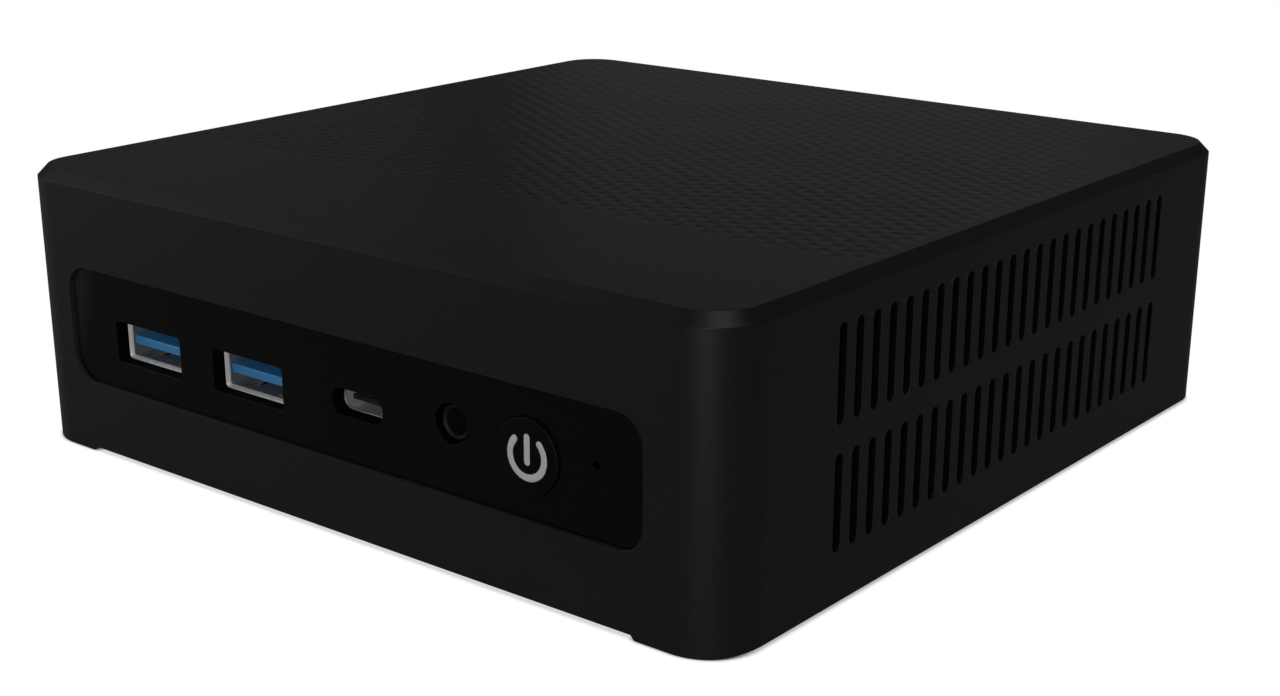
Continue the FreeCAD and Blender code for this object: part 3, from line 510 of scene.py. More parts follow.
def plated_steel(name, level, roughness, metallic=1.0):
    """Rolled and plated sheet: fine lines along the sheet, small stains."""
    n = Nodes(name)
    along = n.add("ShaderNodeMapping", Vector=n.at, Scale=(900.0, 9000.0, 9000.0))
    lines = n.noise(1.0, 4.0, 0.5, along.outputs["Vector"])
    bright = rgb(level * 1.08, (1.0, 0.99, 0.97))
    shade = n.mix(n.spread(n.noise(700.0), 0.0, 1.0), rgb(level * 0.82), bright)
    normal, painted_edge_highlight = n.edges(0.00008)
    # Painted highlight: the edges are lighter, as if they caught the light.
    shade = n.mix(n.spread(painted_edge_highlight, 0.0, 0.6, 0.0, 1.0), shade, rgb(min(0.95, level * 1.3)))
    n.bump(lines, 0.000006, 0.5, normal)
    rough = n.spread(lines, roughness * 0.75, roughness * 1.3)
    return n.finish(Base_Color=shade, Metallic=metallic, Roughness=rough)


def warm_metal(name, colour, roughness):
    """Turned brass, plated contacts or drawn copper: fine tool marks and darker patches."""
    n = Nodes(name)
    fine = n.noise(4000.0)
    shade = n.mix(n.spread(n.noise(500.0), 0.0, 1.0), rgb(0.7, colour), rgb(1.0, colour))
    normal, painted_edge_highlight = n.edges(0.00006)
    # Painted highlight: the edges are lighter, as if they caught the light.
    shade = n.mix(n.spread(painted_edge_highlight, 0.0, 0.5, 0.0, 1.0), shade, rgb(1.15, colour))
    n.bump(fine, 0.000005, 0.6, normal)
    rough = n.spread(fine, roughness * 0.8, roughness * 1.25)
    return n.finish(Base_Color=shade, Metallic=1.0, Roughness=rough)


def circuit_board():
    """Black-green solder mask with fine tracks and plated pads."""
    n = Nodes("circuit_board")
    tracks = n.add("ShaderNodeTexBrick", Vector=n.at, Scale=260.0, Mortar=rgb(1.0))
    for field, value in (("Color1", rgb(0.0)), ("Color2", rgb(0.0)), ("Mortar Size", 0.03)):
        tracks.inputs[field].default_value = value
    cells = n.add("ShaderNodeTexVoronoi", Vector=n.at, Scale=420.0)
    pads = n.spread(cells.outputs["Distance"], 1.0, 0.0, 0.10, 0.16)
    mask = n.mix(tracks.outputs["Color"], rgb(0.010, (0.7, 1.6, 1.1)), rgb(0.018, (0.8, 1.8, 1.2)))
    shade = n.mix(pads, mask, rgb(0.35, (1.0, 0.78, 0.4)))
    n.bump(tracks.outputs["Color"], 0.00003, 0.6, n.edges(0.00008)[0])
    return n.finish(Base_Color=shade, Roughness=n.spread(pads, 0.42, 0.3, 0.0, 1.0))


def frosted_guide():
    """Translucent white plastic of the power symbol, with a faint painted glow."""
    n = Nodes("light_guide")
    fine = n.noise(2500.0)
    shade = n.mix(n.spread(fine, 0.0, 1.0), rgb(0.58), rgb(0.68))
    n.bump(fine, 0.000008, 0.5, n.edges(0.00008)[0])
    # Painted light: a faint white glow, though the symbol is no lamp.
    return n.finish(Base_Color=shade, Roughness=0.5, Emission_Color=rgb(1.0), Emission_Strength=0.015)


moulded("charcoal_plastic", 0.008, 0.40, 1.6, (1.0, 1.0, 1.02), edge=0.0002, soft=False)
# Painted shade: a darker, duller copy of the plastic on the walls of slots and holes, standing in for the
# shade inside them.
moulded("shaded_slot_walls", 0.002, 0.7, specular=0.05, edge=0.00005)
# Painted light: a lighter copy of the plastic on the walls round the windows, so that their shaded sides
# show no dark lines.
moulded("lit_window_walls", 0.026, 0.5, 0.8, specular=0.15, edge=0.00005)
glossy_panel()
moulded("button_plastic", 0.0019, 0.27, 0.2, specular=0.15, edge=0.00005)
# Painted light: a lighter copy of the cap's plastic on its rim and sides, against the shade round the cap.
moulded("lit_button_side", 0.004, 0.5, 0.2, specular=0.2, edge=0.00005)
frosted_guide()
moulded("cover_plastic", 0.012, 0.6, 1.4)
moulded("rubber", 0.010, 0.8, 2.5, specular=0.2)
moulded("black_steel", 0.015, 0.42, 0.6, specular=0.6)
plated_steel("bright_steel", 0.92, 0.44, 0.5)
# A darker copy of the plated steel; inside the full-size USB sleeves it is painted shade.
plated_steel("dull_steel", 0.55, 0.4, 0.75)
warm_metal("brass", (0.72, 0.53, 0.24), 0.3)
warm_metal("contact_gold", (0.83, 0.62, 0.28), 0.22)
warm_metal("copper", (0.70, 0.33, 0.18), 0.35)
# Painted light: the blue tongues glow faintly to lighten their shaded tops.
moulded("usb_blue", 0.58, 0.38, 0.3, (0.07, 0.45, 1.0), specular=0.8, edge=0.00008, glow=0.03)
moulded("black_insert", 0.010, 0.5, 0.6)
circuit_board()
moulded("chip", 0.014, 0.55, 0.8)
moulded("processor", 0.05, 0.45, 0.5, (0.5, 1.0, 0.6))
moulded("choke_grey", 0.09, 0.8, 3.0)
plated_steel("capacitor_can", 0.68, 0.3, 0.9)
moulded("heatsink_black", 0.02, 0.45, 1.0, specular=0.7)
moulded("fan_plastic", 0.011, 0.45, 0.6)
moulded("magnet", 0.04, 0.7, 2.0, (1.0, 0.9, 0.85))
moulded("cable_black", 0.012, 0.5, 0.4)
plated_steel("battery", 0.66, 0.22)
moulded("antenna_foil", 0.02, 0.35, 0.3)
moulded("led", 0.7, 0.25, 0.2)
moulded("lan_light_green", 0.25, 0.2, 0.2, (0.35, 1.0, 0.4), specular=0.5)
moulded("lan_light_amber", 0.35, 0.2, 0.2, (1.0, 0.6, 0.2), specular=0.5)

# The CAD object's own slots take the material of the same name.
for cad_name, cad_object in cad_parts.items():
    cad_object.material_slots[0].material = MATERIALS[cad_slot(cad_name)]


# ---- housing -----------------------------------------------------------------------------------------
CORNER_STEPS = 16
RELIEF_STEPS = 6
RISE_START = 0.35
FOOT_EDGE = 0.1
INNER_EDGE = 0.15
INNER_STEP = 0.04
BEVEL_EDGE = 0.08
BEVEL_STEPS = 4
BEVEL_REACH = BEVEL_EDGE * math.tan(math.radians(22.5))
CEILING_FILLET = 0.5
WALL_TOP = TOP - BEVEL - BEVEL_REACH
INNER_TOP = CEILING - CEILING_FILLET
SLOT_MOUTH = 0.06
WINDOW_MOUTH = 0.05
SLOT_INSIDE = 1
WINDOW_INSIDE = 2
POST_FILLET = 0.4
POST_EDGE = 0.2
BORE_EDGE = 0.15

PIT_PITCH = 2.756
PIT_FIELD_FRONT = -HALF + 30.4
PIT_HALF = (1.33, 0.84)
PIT_TURN = math.radians(-30.0)
PIT_PROFILE = ((0.0, 0.0), (-0.1, 0.008), (-0.34, 0.034), (-0.6, 0.052))
PIT_MARGIN = 0.05


def eased(low, high, t):
    """Smooth step from low to high as t goes from 0 to 1."""
    t = min(1.0, max(0.0, t))
    return low + (high - low) * t * t * (3 - 2 * t)


def wall_foot(quarter, relief):
    """(u, height) along the bottom of one wall: front and rear rise between their corner lugs."""
    if not relief:
        return [(-STRAIGHT, LUG), (STRAIGHT, LUG)]
    if quarter % 2:
        return [(-STRAIGHT, SIDE_RELIEF), (STRAIGHT, SIDE_RELIEF)]
    slope = []
    for i in range(RELIEF_STEPS + 1):
        t = i / RELIEF_STEPS
        slope.append((RELIEF_END + RELIEF_SLOPE * (t - 0.5), eased(FRONT_RELIEF, LUG, t)))
    left = [(-u, z) for u, z in reversed(slope)]
    return [(-STRAIGHT, LUG)] + left + slope + [(STRAIGHT, LUG)]


def corner_foot(quarter, step):
    """Height of the lower edge at a step round a corner: it rises towards the side wall."""
    share = step / CORNER_STEPS
    if quarter % 2:
        share = 1 - share
    return eased(LUG, SIDE_RELIEF, (share - RISE_START) / (1 - RISE_START))


def contour(inset, rise, relief=False):
    """Ring round the housing at an inset; its height is rise above the foot, or at rise without relief."""
    base = 0.0 if relief else -LUG
    ring = []
    for quarter in range(4):
        for u, foot in wall_foot(quarter, relief):
            ring.append(turned(u, -HALF + inset, quarter) + (foot + base + rise,))
        columns = arc(STRAIGHT, -STRAIGHT, CORNER_R - inset, -90, 0, CORNER_STEPS)
        for step in range(1, CORNER_STEPS):
            foot = corner_foot(quarter, step) if relief else LUG
            ring.append(turned(*columns[step], quarter) + (foot + base + rise,))
    return ring


def corner_skins(skin, inset, low, high):
    """The four upright rounded corners; low is measured from the lower edge."""
    columns = arc(STRAIGHT, -STRAIGHT, CORNER_R - inset, -90, 0, CORNER_STEPS)
    for quarter in range(4):
        foot = [turned(*c, quarter) + (corner_foot(quarter, i) + low,) for i, c in enumerate(columns)]
        head = [turned(*c, quarter) + (high,) for c in columns]
        skin.strip(foot, head, closed=False)


def slot_loops(quarter):
    """Outlines of the vent slots in one wall."""
    rows = {0: (), 2: (REAR_SLOT_ROW,)}.get(quarter, SLOT_ROWS)
    half = SLOT_WIDTH / 2
    loops = []
    for i in range(SLOT_COUNT):
        u = (i - (SLOT_COUNT - 1) / 2) * SLOT_PITCH
        for z0, z1 in rows:
            loops.append(rounded(u - half, u + half, z0, z1, half))
    return loops


def window_loop(panel, r):
    """Outline of the window in the wall that a panel fills."""
    x0, x1 = panel.x0 + FLANGE_LIP, panel.x1 - FLANGE_LIP
    return rounded(x0, x1, panel.z0 + FLANGE_LIP, panel.z1 - FLANGE_LIP, r, 10)


FRONT_WINDOW = window_loop(PANEL, 3.85)
REAR_WINDOW = window_loop(REAR, 3.0)
REAR_WINDOW_FROM_BEHIND = [(-x, z) for x, z in reversed(REAR_WINDOW)]


def pit_centres(outline):
    """Staggered lattice of pits behind the smooth band, as far as the bevel."""
    step = PIT_PITCH * math.cos(math.radians(30))
    room = grown(outline, -PIT_HALF[0] - PIT_MARGIN)
    centres = []
    across = int(HALF / step)
    for i in range(-across, across + 1):
        x = i * step
        y = PIT_FIELD_FRONT + (PIT_PITCH / 2 if i % 2 else 0.0)
        while y < HALF:
            if contains(room, (x, y)):
                centres.append((x, y))
            y += PIT_PITCH
    return centres


def pit_loop(x, y):
    """Outline of a pit: a short slot along the direction in which the pits follow each other."""
    half_long, half_wide = PIT_HALF
    cos, sin = math.cos(PIT_TURN), math.sin(PIT_TURN)
    outline = rounded(-half_long, half_long, -half_wide, half_wide, half_wide, 3)
    return [(x + u * cos - v * sin, y + u * sin + v * cos) for u, v in outline]


def housing_walls(skin):
    """Four walls with their slots and windows, and the rounded corners between them."""
    for quarter in range(4):
        holes = [(loop, SLOT_MOUTH, SLOT_INSIDE) for loop in slot_loops(quarter)]
        if quarter == 0:
            holes.append((FRONT_WINDOW, WINDOW_MOUTH, WINDOW_INSIDE))
        if quarter == 2:
            holes.append((REAR_WINDOW_FROM_BEHIND, WINDOW_MOUTH, WINDOW_INSIDE))
        place = wall_plane(quarter)
        foot = wall_foot(quarter, True)
        outer = [(u, z + FOOT_EDGE) for u, z in foot] + [(STRAIGHT, WALL_TOP), (-STRAIGHT, WALL_TOP)]
        inner = [(u, z + INNER_EDGE) for u, z in foot] + [(STRAIGHT, INNER_TOP), (-STRAIGHT, INNER_TOP)]
        skin.flat(outer, [grown(loop, mouth) for loop, mouth, _ in holes], place)
        skin.flat(inner, [grown(loop, BACK_EDGE) for loop, _, _ in holes], place, WALL)
        for loop, mouth, inside in holes:
            skin.hole(loop, place, WALL, mouth, inside)
    corner_skins(skin, 0.0, FOOT_EDGE, WALL_TOP)
    corner_skins(skin, WALL, INNER_EDGE, INNER_TOP)
    rings = [contour(inset, rise, True) for rise, inset in rim(FOOT_EDGE, 4)]
    for inset, rise in ((WALL - INNER_EDGE, 0.0), (WALL - INNER_STEP, INNER_STEP), (WALL, INNER_EDGE)):
        rings.append(contour(inset, rise, True))
    skin.rings(rings)


def housing_top(skin):
    """Bevel with rounded edges, and the top with its pits."""
    turns = [math.radians(45 * i / BEVEL_STEPS) for i in range(BEVEL_STEPS + 1)]
    rings = [contour(BEVEL_EDGE * (1 - math.cos(t)), WALL_TOP + BEVEL_EDGE * math.sin(t)) for t in turns]
    for t in reversed(turns):
        inset = BEVEL + BEVEL_REACH - BEVEL_EDGE * math.sin(t)
        rings.append(contour(inset, TOP - BEVEL_EDGE * (1 - math.cos(t))))
    skin.rings(rings)
    outline = [(x, y) for x, y, _ in rings[-1]]
    plane = lying(TOP, -1)
    pits = [pit_loop(x, y) for x, y in pit_centres(outline)]
    skin.flat(outline, pits, plane)
    floor_growth, floor_depth = PIT_PROFILE[-1]
    for pit in pits:
        skin.swept(pit, plane, PIT_PROFILE)
        skin.face([plane(u, v, floor_depth) for u, v in grown(pit, floor_growth)])


def housing_ceiling(skin):
    """Inside of the top, with the posts that the cover and the board are screwed to."""
    rings = [contour(WALL + inset, CEILING - drop) for drop, inset in rim(CEILING_FILLET)]
    skin.rings(rings)
    posts = [(x, y) + post[2:] for post in POSTS for x, y in mirror_spots(*post[:2])]
    under = lying(CEILING, -1)
    roots = [circle(x, y, r + POST_FILLET) for x, y, r, *_ in posts]
    skin.flat([(x, y) for x, y, _ in rings[-1]], roots, under)
    for x, y, r, bore_r, low, bore_top in posts:
        tip = CEILING - low
        bore_end = CEILING - bore_top
        skin.lathe(under, x, y, [
            (r + POST_FILLET, 0.0), (r + POST_FILLET / 4, POST_FILLET / 4), (r, POST_FILLET),
            (r, tip - POST_EDGE), (r - POST_EDGE, tip), (bore_r + BORE_EDGE, tip),
            (bore_r, tip - BORE_EDGE), (bore_r, bore_end), (0.0, bore_end),
        ])


def housing():
    skin = Skin()
    housing_walls(skin)
    housing_top(skin)
    housing_ceiling(skin)
    skin.build("case_shell", ["charcoal_plastic", "shaded_slot_walls", "lit_window_walls"], "housing")


# ---- panels ------------------------------------------------------------------------------------------
PANEL_EDGE = 0.06
CUTOUT_EDGE = 0.04
USB_CUTOUT = (14.0, 6.0)
USB_C_CUTOUT = (9.4, 3.7)
AUDIO_CUTOUT_R = 2.65
BUTTON_R = 4.8
BUTTON_CUTOUT_R = BUTTON_R + 0.1
RESET_HOLE_R = 0.6
DC_CUTOUT_R = 3.75
HDMI_HALF = 7.5
HDMI_TALL = 2.78
HDMI_FOOT = 5.6
HDMI_SHOULDER = 0.6
HDMI_GAP = 0.3
LAN_GAP = 0.4

FRONT_PLACE = facing(PANEL.y0, 1)
REAR_PLACE = facing(REAR.y1, -1)
USB_HALF = USB_SIZE[0] / 2
USB_TALL = USB_SIZE[1] / 2
FRONT_USB_Z = FRONT_USB.z1 - USB_TALL
FRONT_USB_SPOTS = [(x, FRONT_USB_Z) for x in (FRONT_USB.x0 + USB_HALF, FRONT_USB.x1 - USB_HALF)]
REAR_USB_TOP = REAR_USB.z1 - USB_TALL
REAR_USB_SPOTS = [(REAR_USB.cx, z) for z in (REAR_USB_TOP - 8.1, REAR_USB_TOP)]
AUDIO_AT = (AUDIO.cx, AUDIO.z1 - 3.1)
BUTTON_AT = (BUTTON.cx, BUTTON.cz)
RESET_AT = (RESET.cx, RESET.cz)
DC_AT = (DC.cx, DC.z1 - 5.0)
HDMI_SPOTS = [(x, HDMI.z1 - HDMI_TALL) for x in (HDMI.x0 + HDMI_HALF, HDMI.x1 - HDMI_HALF)]


def panel(name, node, window, place, depth, cutouts):
    """Plate that fills a window, with a flange behind the wall. Depths start at the plate's face."""
    skin = Skin()
    plug = grown(window, -PANEL_GAP)
    flange = grown(window, FLANGE_LIP)
    step, back = depth
    skin.flat(grown(plug, -PANEL_EDGE), [grown(loop, CUTOUT_EDGE) for loop in cutouts], place)
    skin.swept(plug, place, plate_edge(PANEL_EDGE, step))
    skin.flat(flange, [plug], place, step)
    skin.swept(flange, place, [(0.0, step), (0.0, back)])
    skin.flat(flange, [grown(loop, BACK_EDGE) for loop in cutouts], place, back)
    for loop in cutouts:
        skin.hole(loop, place, back, CUTOUT_EDGE, 1)
    skin.build(name, ["panel_gloss", "shaded_slot_walls"], node, slot="panel_gloss")


def hdmi_loop(cx, cz, grow, r):
    """Socket outline: wide above, with its lower corners cut in."""
    half, tall, foot = HDMI_HALF + grow, HDMI_TALL + grow, HDMI_FOOT + grow
    lower = [(-foot, -tall), (foot, -tall), (half, -HDMI_SHOULDER)]
    upper = [(half, tall), (-half, tall), (-half, -HDMI_SHOULDER)]
    return softened([(cx + u, cz + v) for u, v in lower + upper], r)


def panels():
    cutouts = [rounded_at(x, z, USB_CUTOUT, 0.5) for x, z in FRONT_USB_SPOTS]
    cutouts.append(rounded_at(USB_C.cx, USB_C.cz, USB_C_CUTOUT, 1.8, 8))
    cutouts.append(circle(*AUDIO_AT, AUDIO_CUTOUT_R))
    cutouts.append(circle(*BUTTON_AT, BUTTON_CUTOUT_R, 72))
    cutouts.append(circle(*RESET_AT, RESET_HOLE_R, 24))
    depth = (CASE.y0 + WALL - PANEL.y0, PANEL.y1 - PANEL.y0)
    panel("port_panel_front", "front_panel", FRONT_WINDOW, FRONT_PLACE, depth, cutouts)

    cutouts = [hdmi_loop(x, z, HDMI_GAP, 0.5) for x, z in HDMI_SPOTS]
    cutouts += [rounded_at(x, z, USB_CUTOUT, 0.5) for x, z in REAR_USB_SPOTS]
    cutouts.append(circle(*DC_AT, DC_CUTOUT_R))
    lan = (LAN_SHIELD.w + LAN_GAP, LAN_SHIELD.h + LAN_GAP)
    cutouts.append(rounded_at(LAN_SHIELD.cx, LAN_SHIELD.cz, lan, 0.3, 3))
    depth = (REAR.y1 - (CASE.y1 - WALL), REAR.y1 - REAR.y0)
    panel("port_panel_rear", "rear_panel", REAR_WINDOW, REAR_PLACE, depth, cutouts)


# ---- underside ---------------------------------------------------------------------------------------
COVER_THICK = 1.8
COVER_EDGE = 0.25
COVER_VENTS = 14
COVER_VENT_PITCH = 4.0
COVER_VENT_HALF = 0.9
COVER_VENT_ROWS = ((-26.0, -3.0), (3.0, 26.0))
VENT_MOUTH = 0.15
BOSS_R = 3.9
BOSS_FILLET = 0.3
INSERT_R = 2.7
THREAD_R = (1.65, 1.82)
HEAD_R = 2.4
HEAD_H = 0.75
SHANK_R = 0.98
HEAD_WELL_R = 2.6
SHANK_HOLE_R = 1.35
PAD_R = 5.5
PAD_WELL_R = 5.6
PAD_WELL = 0.6
RIDGE_PITCH = 0.3
MOUNTS = mirror_spots(INSERTS.x1 - INSERT_R, INSERTS.x1 - INSERT_R)
COVER_SCREWS = mirror_spots(SCREWS.x1 - HEAD_R, SCREWS.y1 - HEAD_R)
PADS = mirror_spots(FEET.x1 - PAD_R, FEET.y1 - PAD_R)


def bottom_cover():
    skin = Skin()
    up = lying(COVER.z0, 1)
    boss_top = COVER.z1 - COVER.z0
    plate = rounded(COVER.x0, COVER.x1, COVER.y0, COVER.y1, CORNER_R - WALL - 0.15, 12)
    vents = []
    for i in range(COVER_VENTS):
        x = (i - (COVER_VENTS - 1) / 2) * COVER_VENT_PITCH
        for y0, y1 in COVER_VENT_ROWS:
            vents.append(rounded(x - COVER_VENT_HALF, x + COVER_VENT_HALF, y0, y1, COVER_VENT_HALF))
    low = [grown(v, VENT_MOUTH) for v in vents]
    low += [circle(x, y, HEAD_WELL_R + 0.1) for x, y in COVER_SCREWS]
    low += [circle(x, y, PAD_WELL_R + 0.15) for x, y in PADS]
    low += [circle(x, y, INSERT_R + 0.15) for x, y in MOUNTS]
    skin.flat(grown(plate, -COVER_EDGE), low, up)
    skin.swept(plate, up, plate_edge(COVER_EDGE, COVER_THICK))
    high = [grown(v, BACK_EDGE) for v in vents]
    high += [circle(x, y, SHANK_HOLE_R) for x, y in COVER_SCREWS]
    high += [circle(x, y, BOSS_R + BOSS_FILLET) for x, y in MOUNTS]
    skin.flat(plate, high, up, COVER_THICK)
    for v in vents:
        skin.swept(v, up, through(COVER_THICK, VENT_MOUTH, BACK_EDGE))
    for x, y in COVER_SCREWS:
        skin.lathe(up, x, y, [
            (HEAD_WELL_R + 0.1, 0.0), (HEAD_WELL_R, 0.1), (HEAD_WELL_R, 0.8), (SHANK_HOLE_R, 0.8),
            (SHANK_HOLE_R, COVER_THICK),
        ])
    pad_well = [(PAD_WELL_R + 0.15, 0.0), (PAD_WELL_R, 0.15), (PAD_WELL_R, PAD_WELL), (0.0, PAD_WELL)]
    for x, y in PADS:
        skin.lathe(up, x, y, pad_well)
    well = INSERTS.z1 - COVER.z0
    for x, y in MOUNTS:
        skin.lathe(up, x, y, [(INSERT_R + 0.15, 0.0), (INSERT_R, 0.15), (INSERT_R, well), (0.0, well)])
        skin.lathe(up, x, y, [
            (BOSS_R + BOSS_FILLET, COVER_THICK), (BOSS_R, COVER_THICK + BOSS_FILLET),
            (BOSS_R, boss_top - 0.2), (BOSS_R - 0.2, boss_top), (0.0, boss_top),
        ])
    skin.build("base_cover", ["cover_plastic"], "bottom_cover")


def feet():
    """Four pads with a groove round the middle of the sole."""
    skin = Skin()
    for x, y in PADS:
        skin.lathe(lying(0.0, 1), x, y, [
            (0.0, 0.12), (2.6, 0.12), (2.75, 0.0), (3.3, 0.0), (3.45, 0.12), (3.9, 0.12), (4.05, 0.0),
            (4.9, 0.0), (5.2, 0.08), (5.42, 0.3), (PAD_R, 0.6), (PAD_R, FEET.z1 - 0.1),
            (PAD_R - 0.1, FEET.z1), (0.0, FEET.z1),
        ], 64)
    skin.build("feet_pads", ["rubber"], "rubber_feet")


def bracket_inserts():
    """Brass inserts with a groove round the outside and a ridged bore."""
    skin = Skin()
    end = INSERTS.h
    crest, root = THREAD_R
    turns = 2 * end
    profile = [
        (1.95, 0.0), (2.6, 0.0), (INSERT_R, 0.1), (INSERT_R, 1.4), (2.45, 1.5), (2.45, 2.9),
        (INSERT_R, 3.0), (INSERT_R, end), (crest, end),
    ]
    for i in range(int(turns), 0, -1):
        profile.append((crest if i % 2 else root, 0.3 + (end - 0.4) * (i - 1) / turns))
    profile.append((1.95, 0.0))
    for x, y in MOUNTS:
        skin.lathe(lying(INSERTS.z0, 1), x, y, profile)
    skin.build("bracket_inserts", ["brass"], "mount_inserts")


def cross_loop(x, y, reach, half):
    """Outline of a cross recess."""
    points = []
    for quarter in range(4):
        for u, v in ((half, -half), (reach, -half), (reach, half)):
            du, dv = turned(u, v, quarter)
            points.append((x + du, y + dv))
    return softened(points, half * 0.3, 2)


def cover_screws():
    """Pan-head screws driven upwards, with cross recesses and ridged shanks."""
    skin = Skin()
    up = lying(SCREWS.z0, 1)
    length = SCREWS.z1 - SCREWS.z0
    recess = HEAD_H * 0.6
    profile = [
        (HEAD_R - 0.35, 0.0), (HEAD_R - 0.12, 0.07), (HEAD_R, 0.3), (HEAD_R, HEAD_H), (SHANK_R, HEAD_H),
    ]
    for i in range(int((length - HEAD_H - 0.8) / RIDGE_PITCH)):
        profile.append((SHANK_R if i % 2 else SHANK_R - 0.15, HEAD_H + 0.2 + RIDGE_PITCH * i))
    profile += [(SHANK_R - 0.3, length), (0.0, length)]
    for x, y in COVER_SCREWS:
        cross = cross_loop(x, y, HEAD_R * 0.55, HEAD_R * 0.13)
        skin.flat(circle(x, y, HEAD_R - 0.35), [cross], up)
        skin.swept(cross, up, [(0.0, 0.0), (-0.05, recess)])
        skin.flat(grown(cross, -0.05), (), up, recess)
        skin.lathe(up, x, y, profile, 32)
    skin.build("base_screws", ["black_steel"], "cover_screws")


# ---- sockets -----------------------------------------------------------------------------------------
SLEEVE_MOUTH = 0.3
USB_SHEET = 0.5
USB_FINGERS = (-3.2, 3.2)
USB_DIP = 0.62
TONGUE_HALF = 5.55
TONGUE_TOP = 0.72
TONGUE_THICK = 1.35
TONGUE_NOSE = 0.18
USB_C_SHEET = 0.3
USB_C_PITCH = 0.5
HDMI_SHEET = 0.35
HDMI_PITCH = 0.5
LAN_SHEET = 0.3
LAN_PITCH = 1.02


def sleeve(skin, cx, cz, size, r, sheet, place, length, windows=()):
    """Folded sheet sleeve with a flared mouth, and windows through its top and bottom."""
    outer = rounded_at(cx, cz, size, r, 4)
    flared = sheet * 1.1
    lip = SLEEVE_MOUTH + flared
    skin.slot = 0
    flare = [(0.0, flared), (0.0, 0.08), (-0.02, 0.02), (-0.08, 0.0), (-0.12, 0.0), (-0.17, 0.03)]
    flare += [(0.04 - sheet, flared * 0.8), (-sheet, flared)]
    skin.swept(outer, place, [(g, SLEEVE_MOUTH + d) for g, d in flare])
    skin.swept(outer, place, [(0.0, length), (-sheet, length)])
    # The inner faces take the second material, another brightness of the same steel: painted shade inside
    # the full-size sleeves, painted light inside the USB-C sleeve.
    for growth in (0.0, -sheet):
        skin.slot = 1 if growth else 0
        loop = grown(outer, growth)
        for i, b in enumerate(loop):
            a = loop[i - 1]
            if abs(a[1] - b[1]) < 1e-6 and abs(a[0] - b[0]) > size[0] / 2:
                level = lambda u, v, d=0.0, z=a[1]: place(u, z, v)
                x0, x1 = sorted((a[0], b[0]))
                skin.flat([(x0, lip), (x1, lip), (x1, length), (x0, length)], windows, level)
            else:
                skin.face((place(*a, lip), place(*b, lip), place(*b, length), place(*a, length)))
    for side in (-1, 1):
        z = cz + side * size[1] / 2
        for w in windows:
            skin.strip([place(u, z, d) for u, d in w], [place(u, z - side * sheet, d) for u, d in w])


def usb_finger(z, side):
    """(z, depth) steps of the spring finger over one window of a sleeve; side is 1 for the top."""
    steps = []
    for i in range(9):
        t = i / 8
        dip = math.sin(math.pi * min(1.0, t * 1.25)) if t < 0.8 else (t - 0.8) * 0.9
        steps.append((z + side * (USB_TALL - USB_SHEET / 2 - USB_DIP * dip), 5.55 - 3.9 * t))
    return steps


def usb_tongue(core, x, z, place, tip, length):
    """Tongue with two rows of contacts under it, and the block behind it."""
    top = z + TONGUE_TOP
    low = top - TONGUE_THICK - 0.02
    root = length - 3.4
    tongue = rounded(x - TONGUE_HALF, x + TONGUE_HALF, top - TONGUE_THICK, top, 0.25, 3)
    core.slot = 0
    core.swept(tongue, place, [
        (-TONGUE_NOSE, tip), (-TONGUE_NOSE * 0.35, tip + TONGUE_NOSE * 0.4), (0.0, tip + TONGUE_NOSE * 1.3),
        (0.0, root),
    ])
    core.flat(grown(tongue, -TONGUE_NOSE), (), place, tip)
    core.flat(tongue, (), place, root)
    block = rounded_at(x, z, (USB_SIZE[0] - 1.04, USB_SIZE[1] - 1.04), 0.3, 3)
    core.block(block, place, (root - 0.1, length - 0.02), 0.05)
    core.slot = 1
    for i in range(4):
        core.finger(place, x + (i - 1.5) * 2.4, [(low, tip + d) for d in (0.7, 3.65, 6.6)], 1.0, 0.14)
    steps = [(low - h, tip + d) for h, d in ((0.0, 9.0), (0.25, 8.2), (0.3, 7.6), (0.0, 7.0))]
    for i in range(5):
        core.finger(place, x + (i - 2) * 2.0, steps, 0.6, 0.14)


def usb_socket(skin, x, z, place, length, legs):
    """Steel sleeve of a full-size USB socket, with spring fingers and side bumps, and legs to the board."""
    windows = [rounded(x + dx - 1.0, x + dx + 1.0, 1.3, 5.5, 0.2, 2) for dx in USB_FINGERS]
    sleeve(skin, x, z, USB_SIZE, 0.6, USB_SHEET, place, length, windows)
    leg = (0.33, z - BOARD.z1)
    for side in (-1, 1):
        for dx in USB_FINGERS:
            skin.finger(place, x + dx, usb_finger(z, side), 1.45, 0.2)
        bump = rounded_at(x + side * (USB_HALF + 0.08), z, (0.16, 2.2), 0.05, 2)
        skin.block(bump, place, (2.6, 6.0), 0.04)
        if legs:
            outline = rounded_at(x + side * (USB_HALF - 0.17), (z + BOARD.z1) / 2, leg, 0.1, 2)
            skin.block(outline, place, (5.0, 7.5), 0.05)


def usb_sockets(side, limits, spots, place, tip, nodes):
    """The full-size USB sockets of one panel; the lowest ones stand on the board."""
    shells = Skin()
    cores = Skin()
    length = limits.y1 - limits.y0
    heights = sorted({z for _, z in spots})
    for x, z in spots:
        usb_socket(shells, x, z, place, length, z == heights[0])
        usb_tongue(cores, x, z, place, tip, length)
    cores.slot = 0
    for below, above in zip(heights, heights[1:]):
        gap = (below + USB_TALL + 0.02, above - USB_TALL - 0.02)
        filler = rounded(limits.x0 + 0.2, limits.x1 - 0.2, *gap, 0.3, 2)
        cores.block(filler, place, (0.5, length), 0.1)
    shells.build("usb_sleeves_" + side, ["bright_steel", "dull_steel"], nodes[0])
    cores.build("usb_tongues_" + side, ["usb_blue", "contact_gold"], nodes[1])


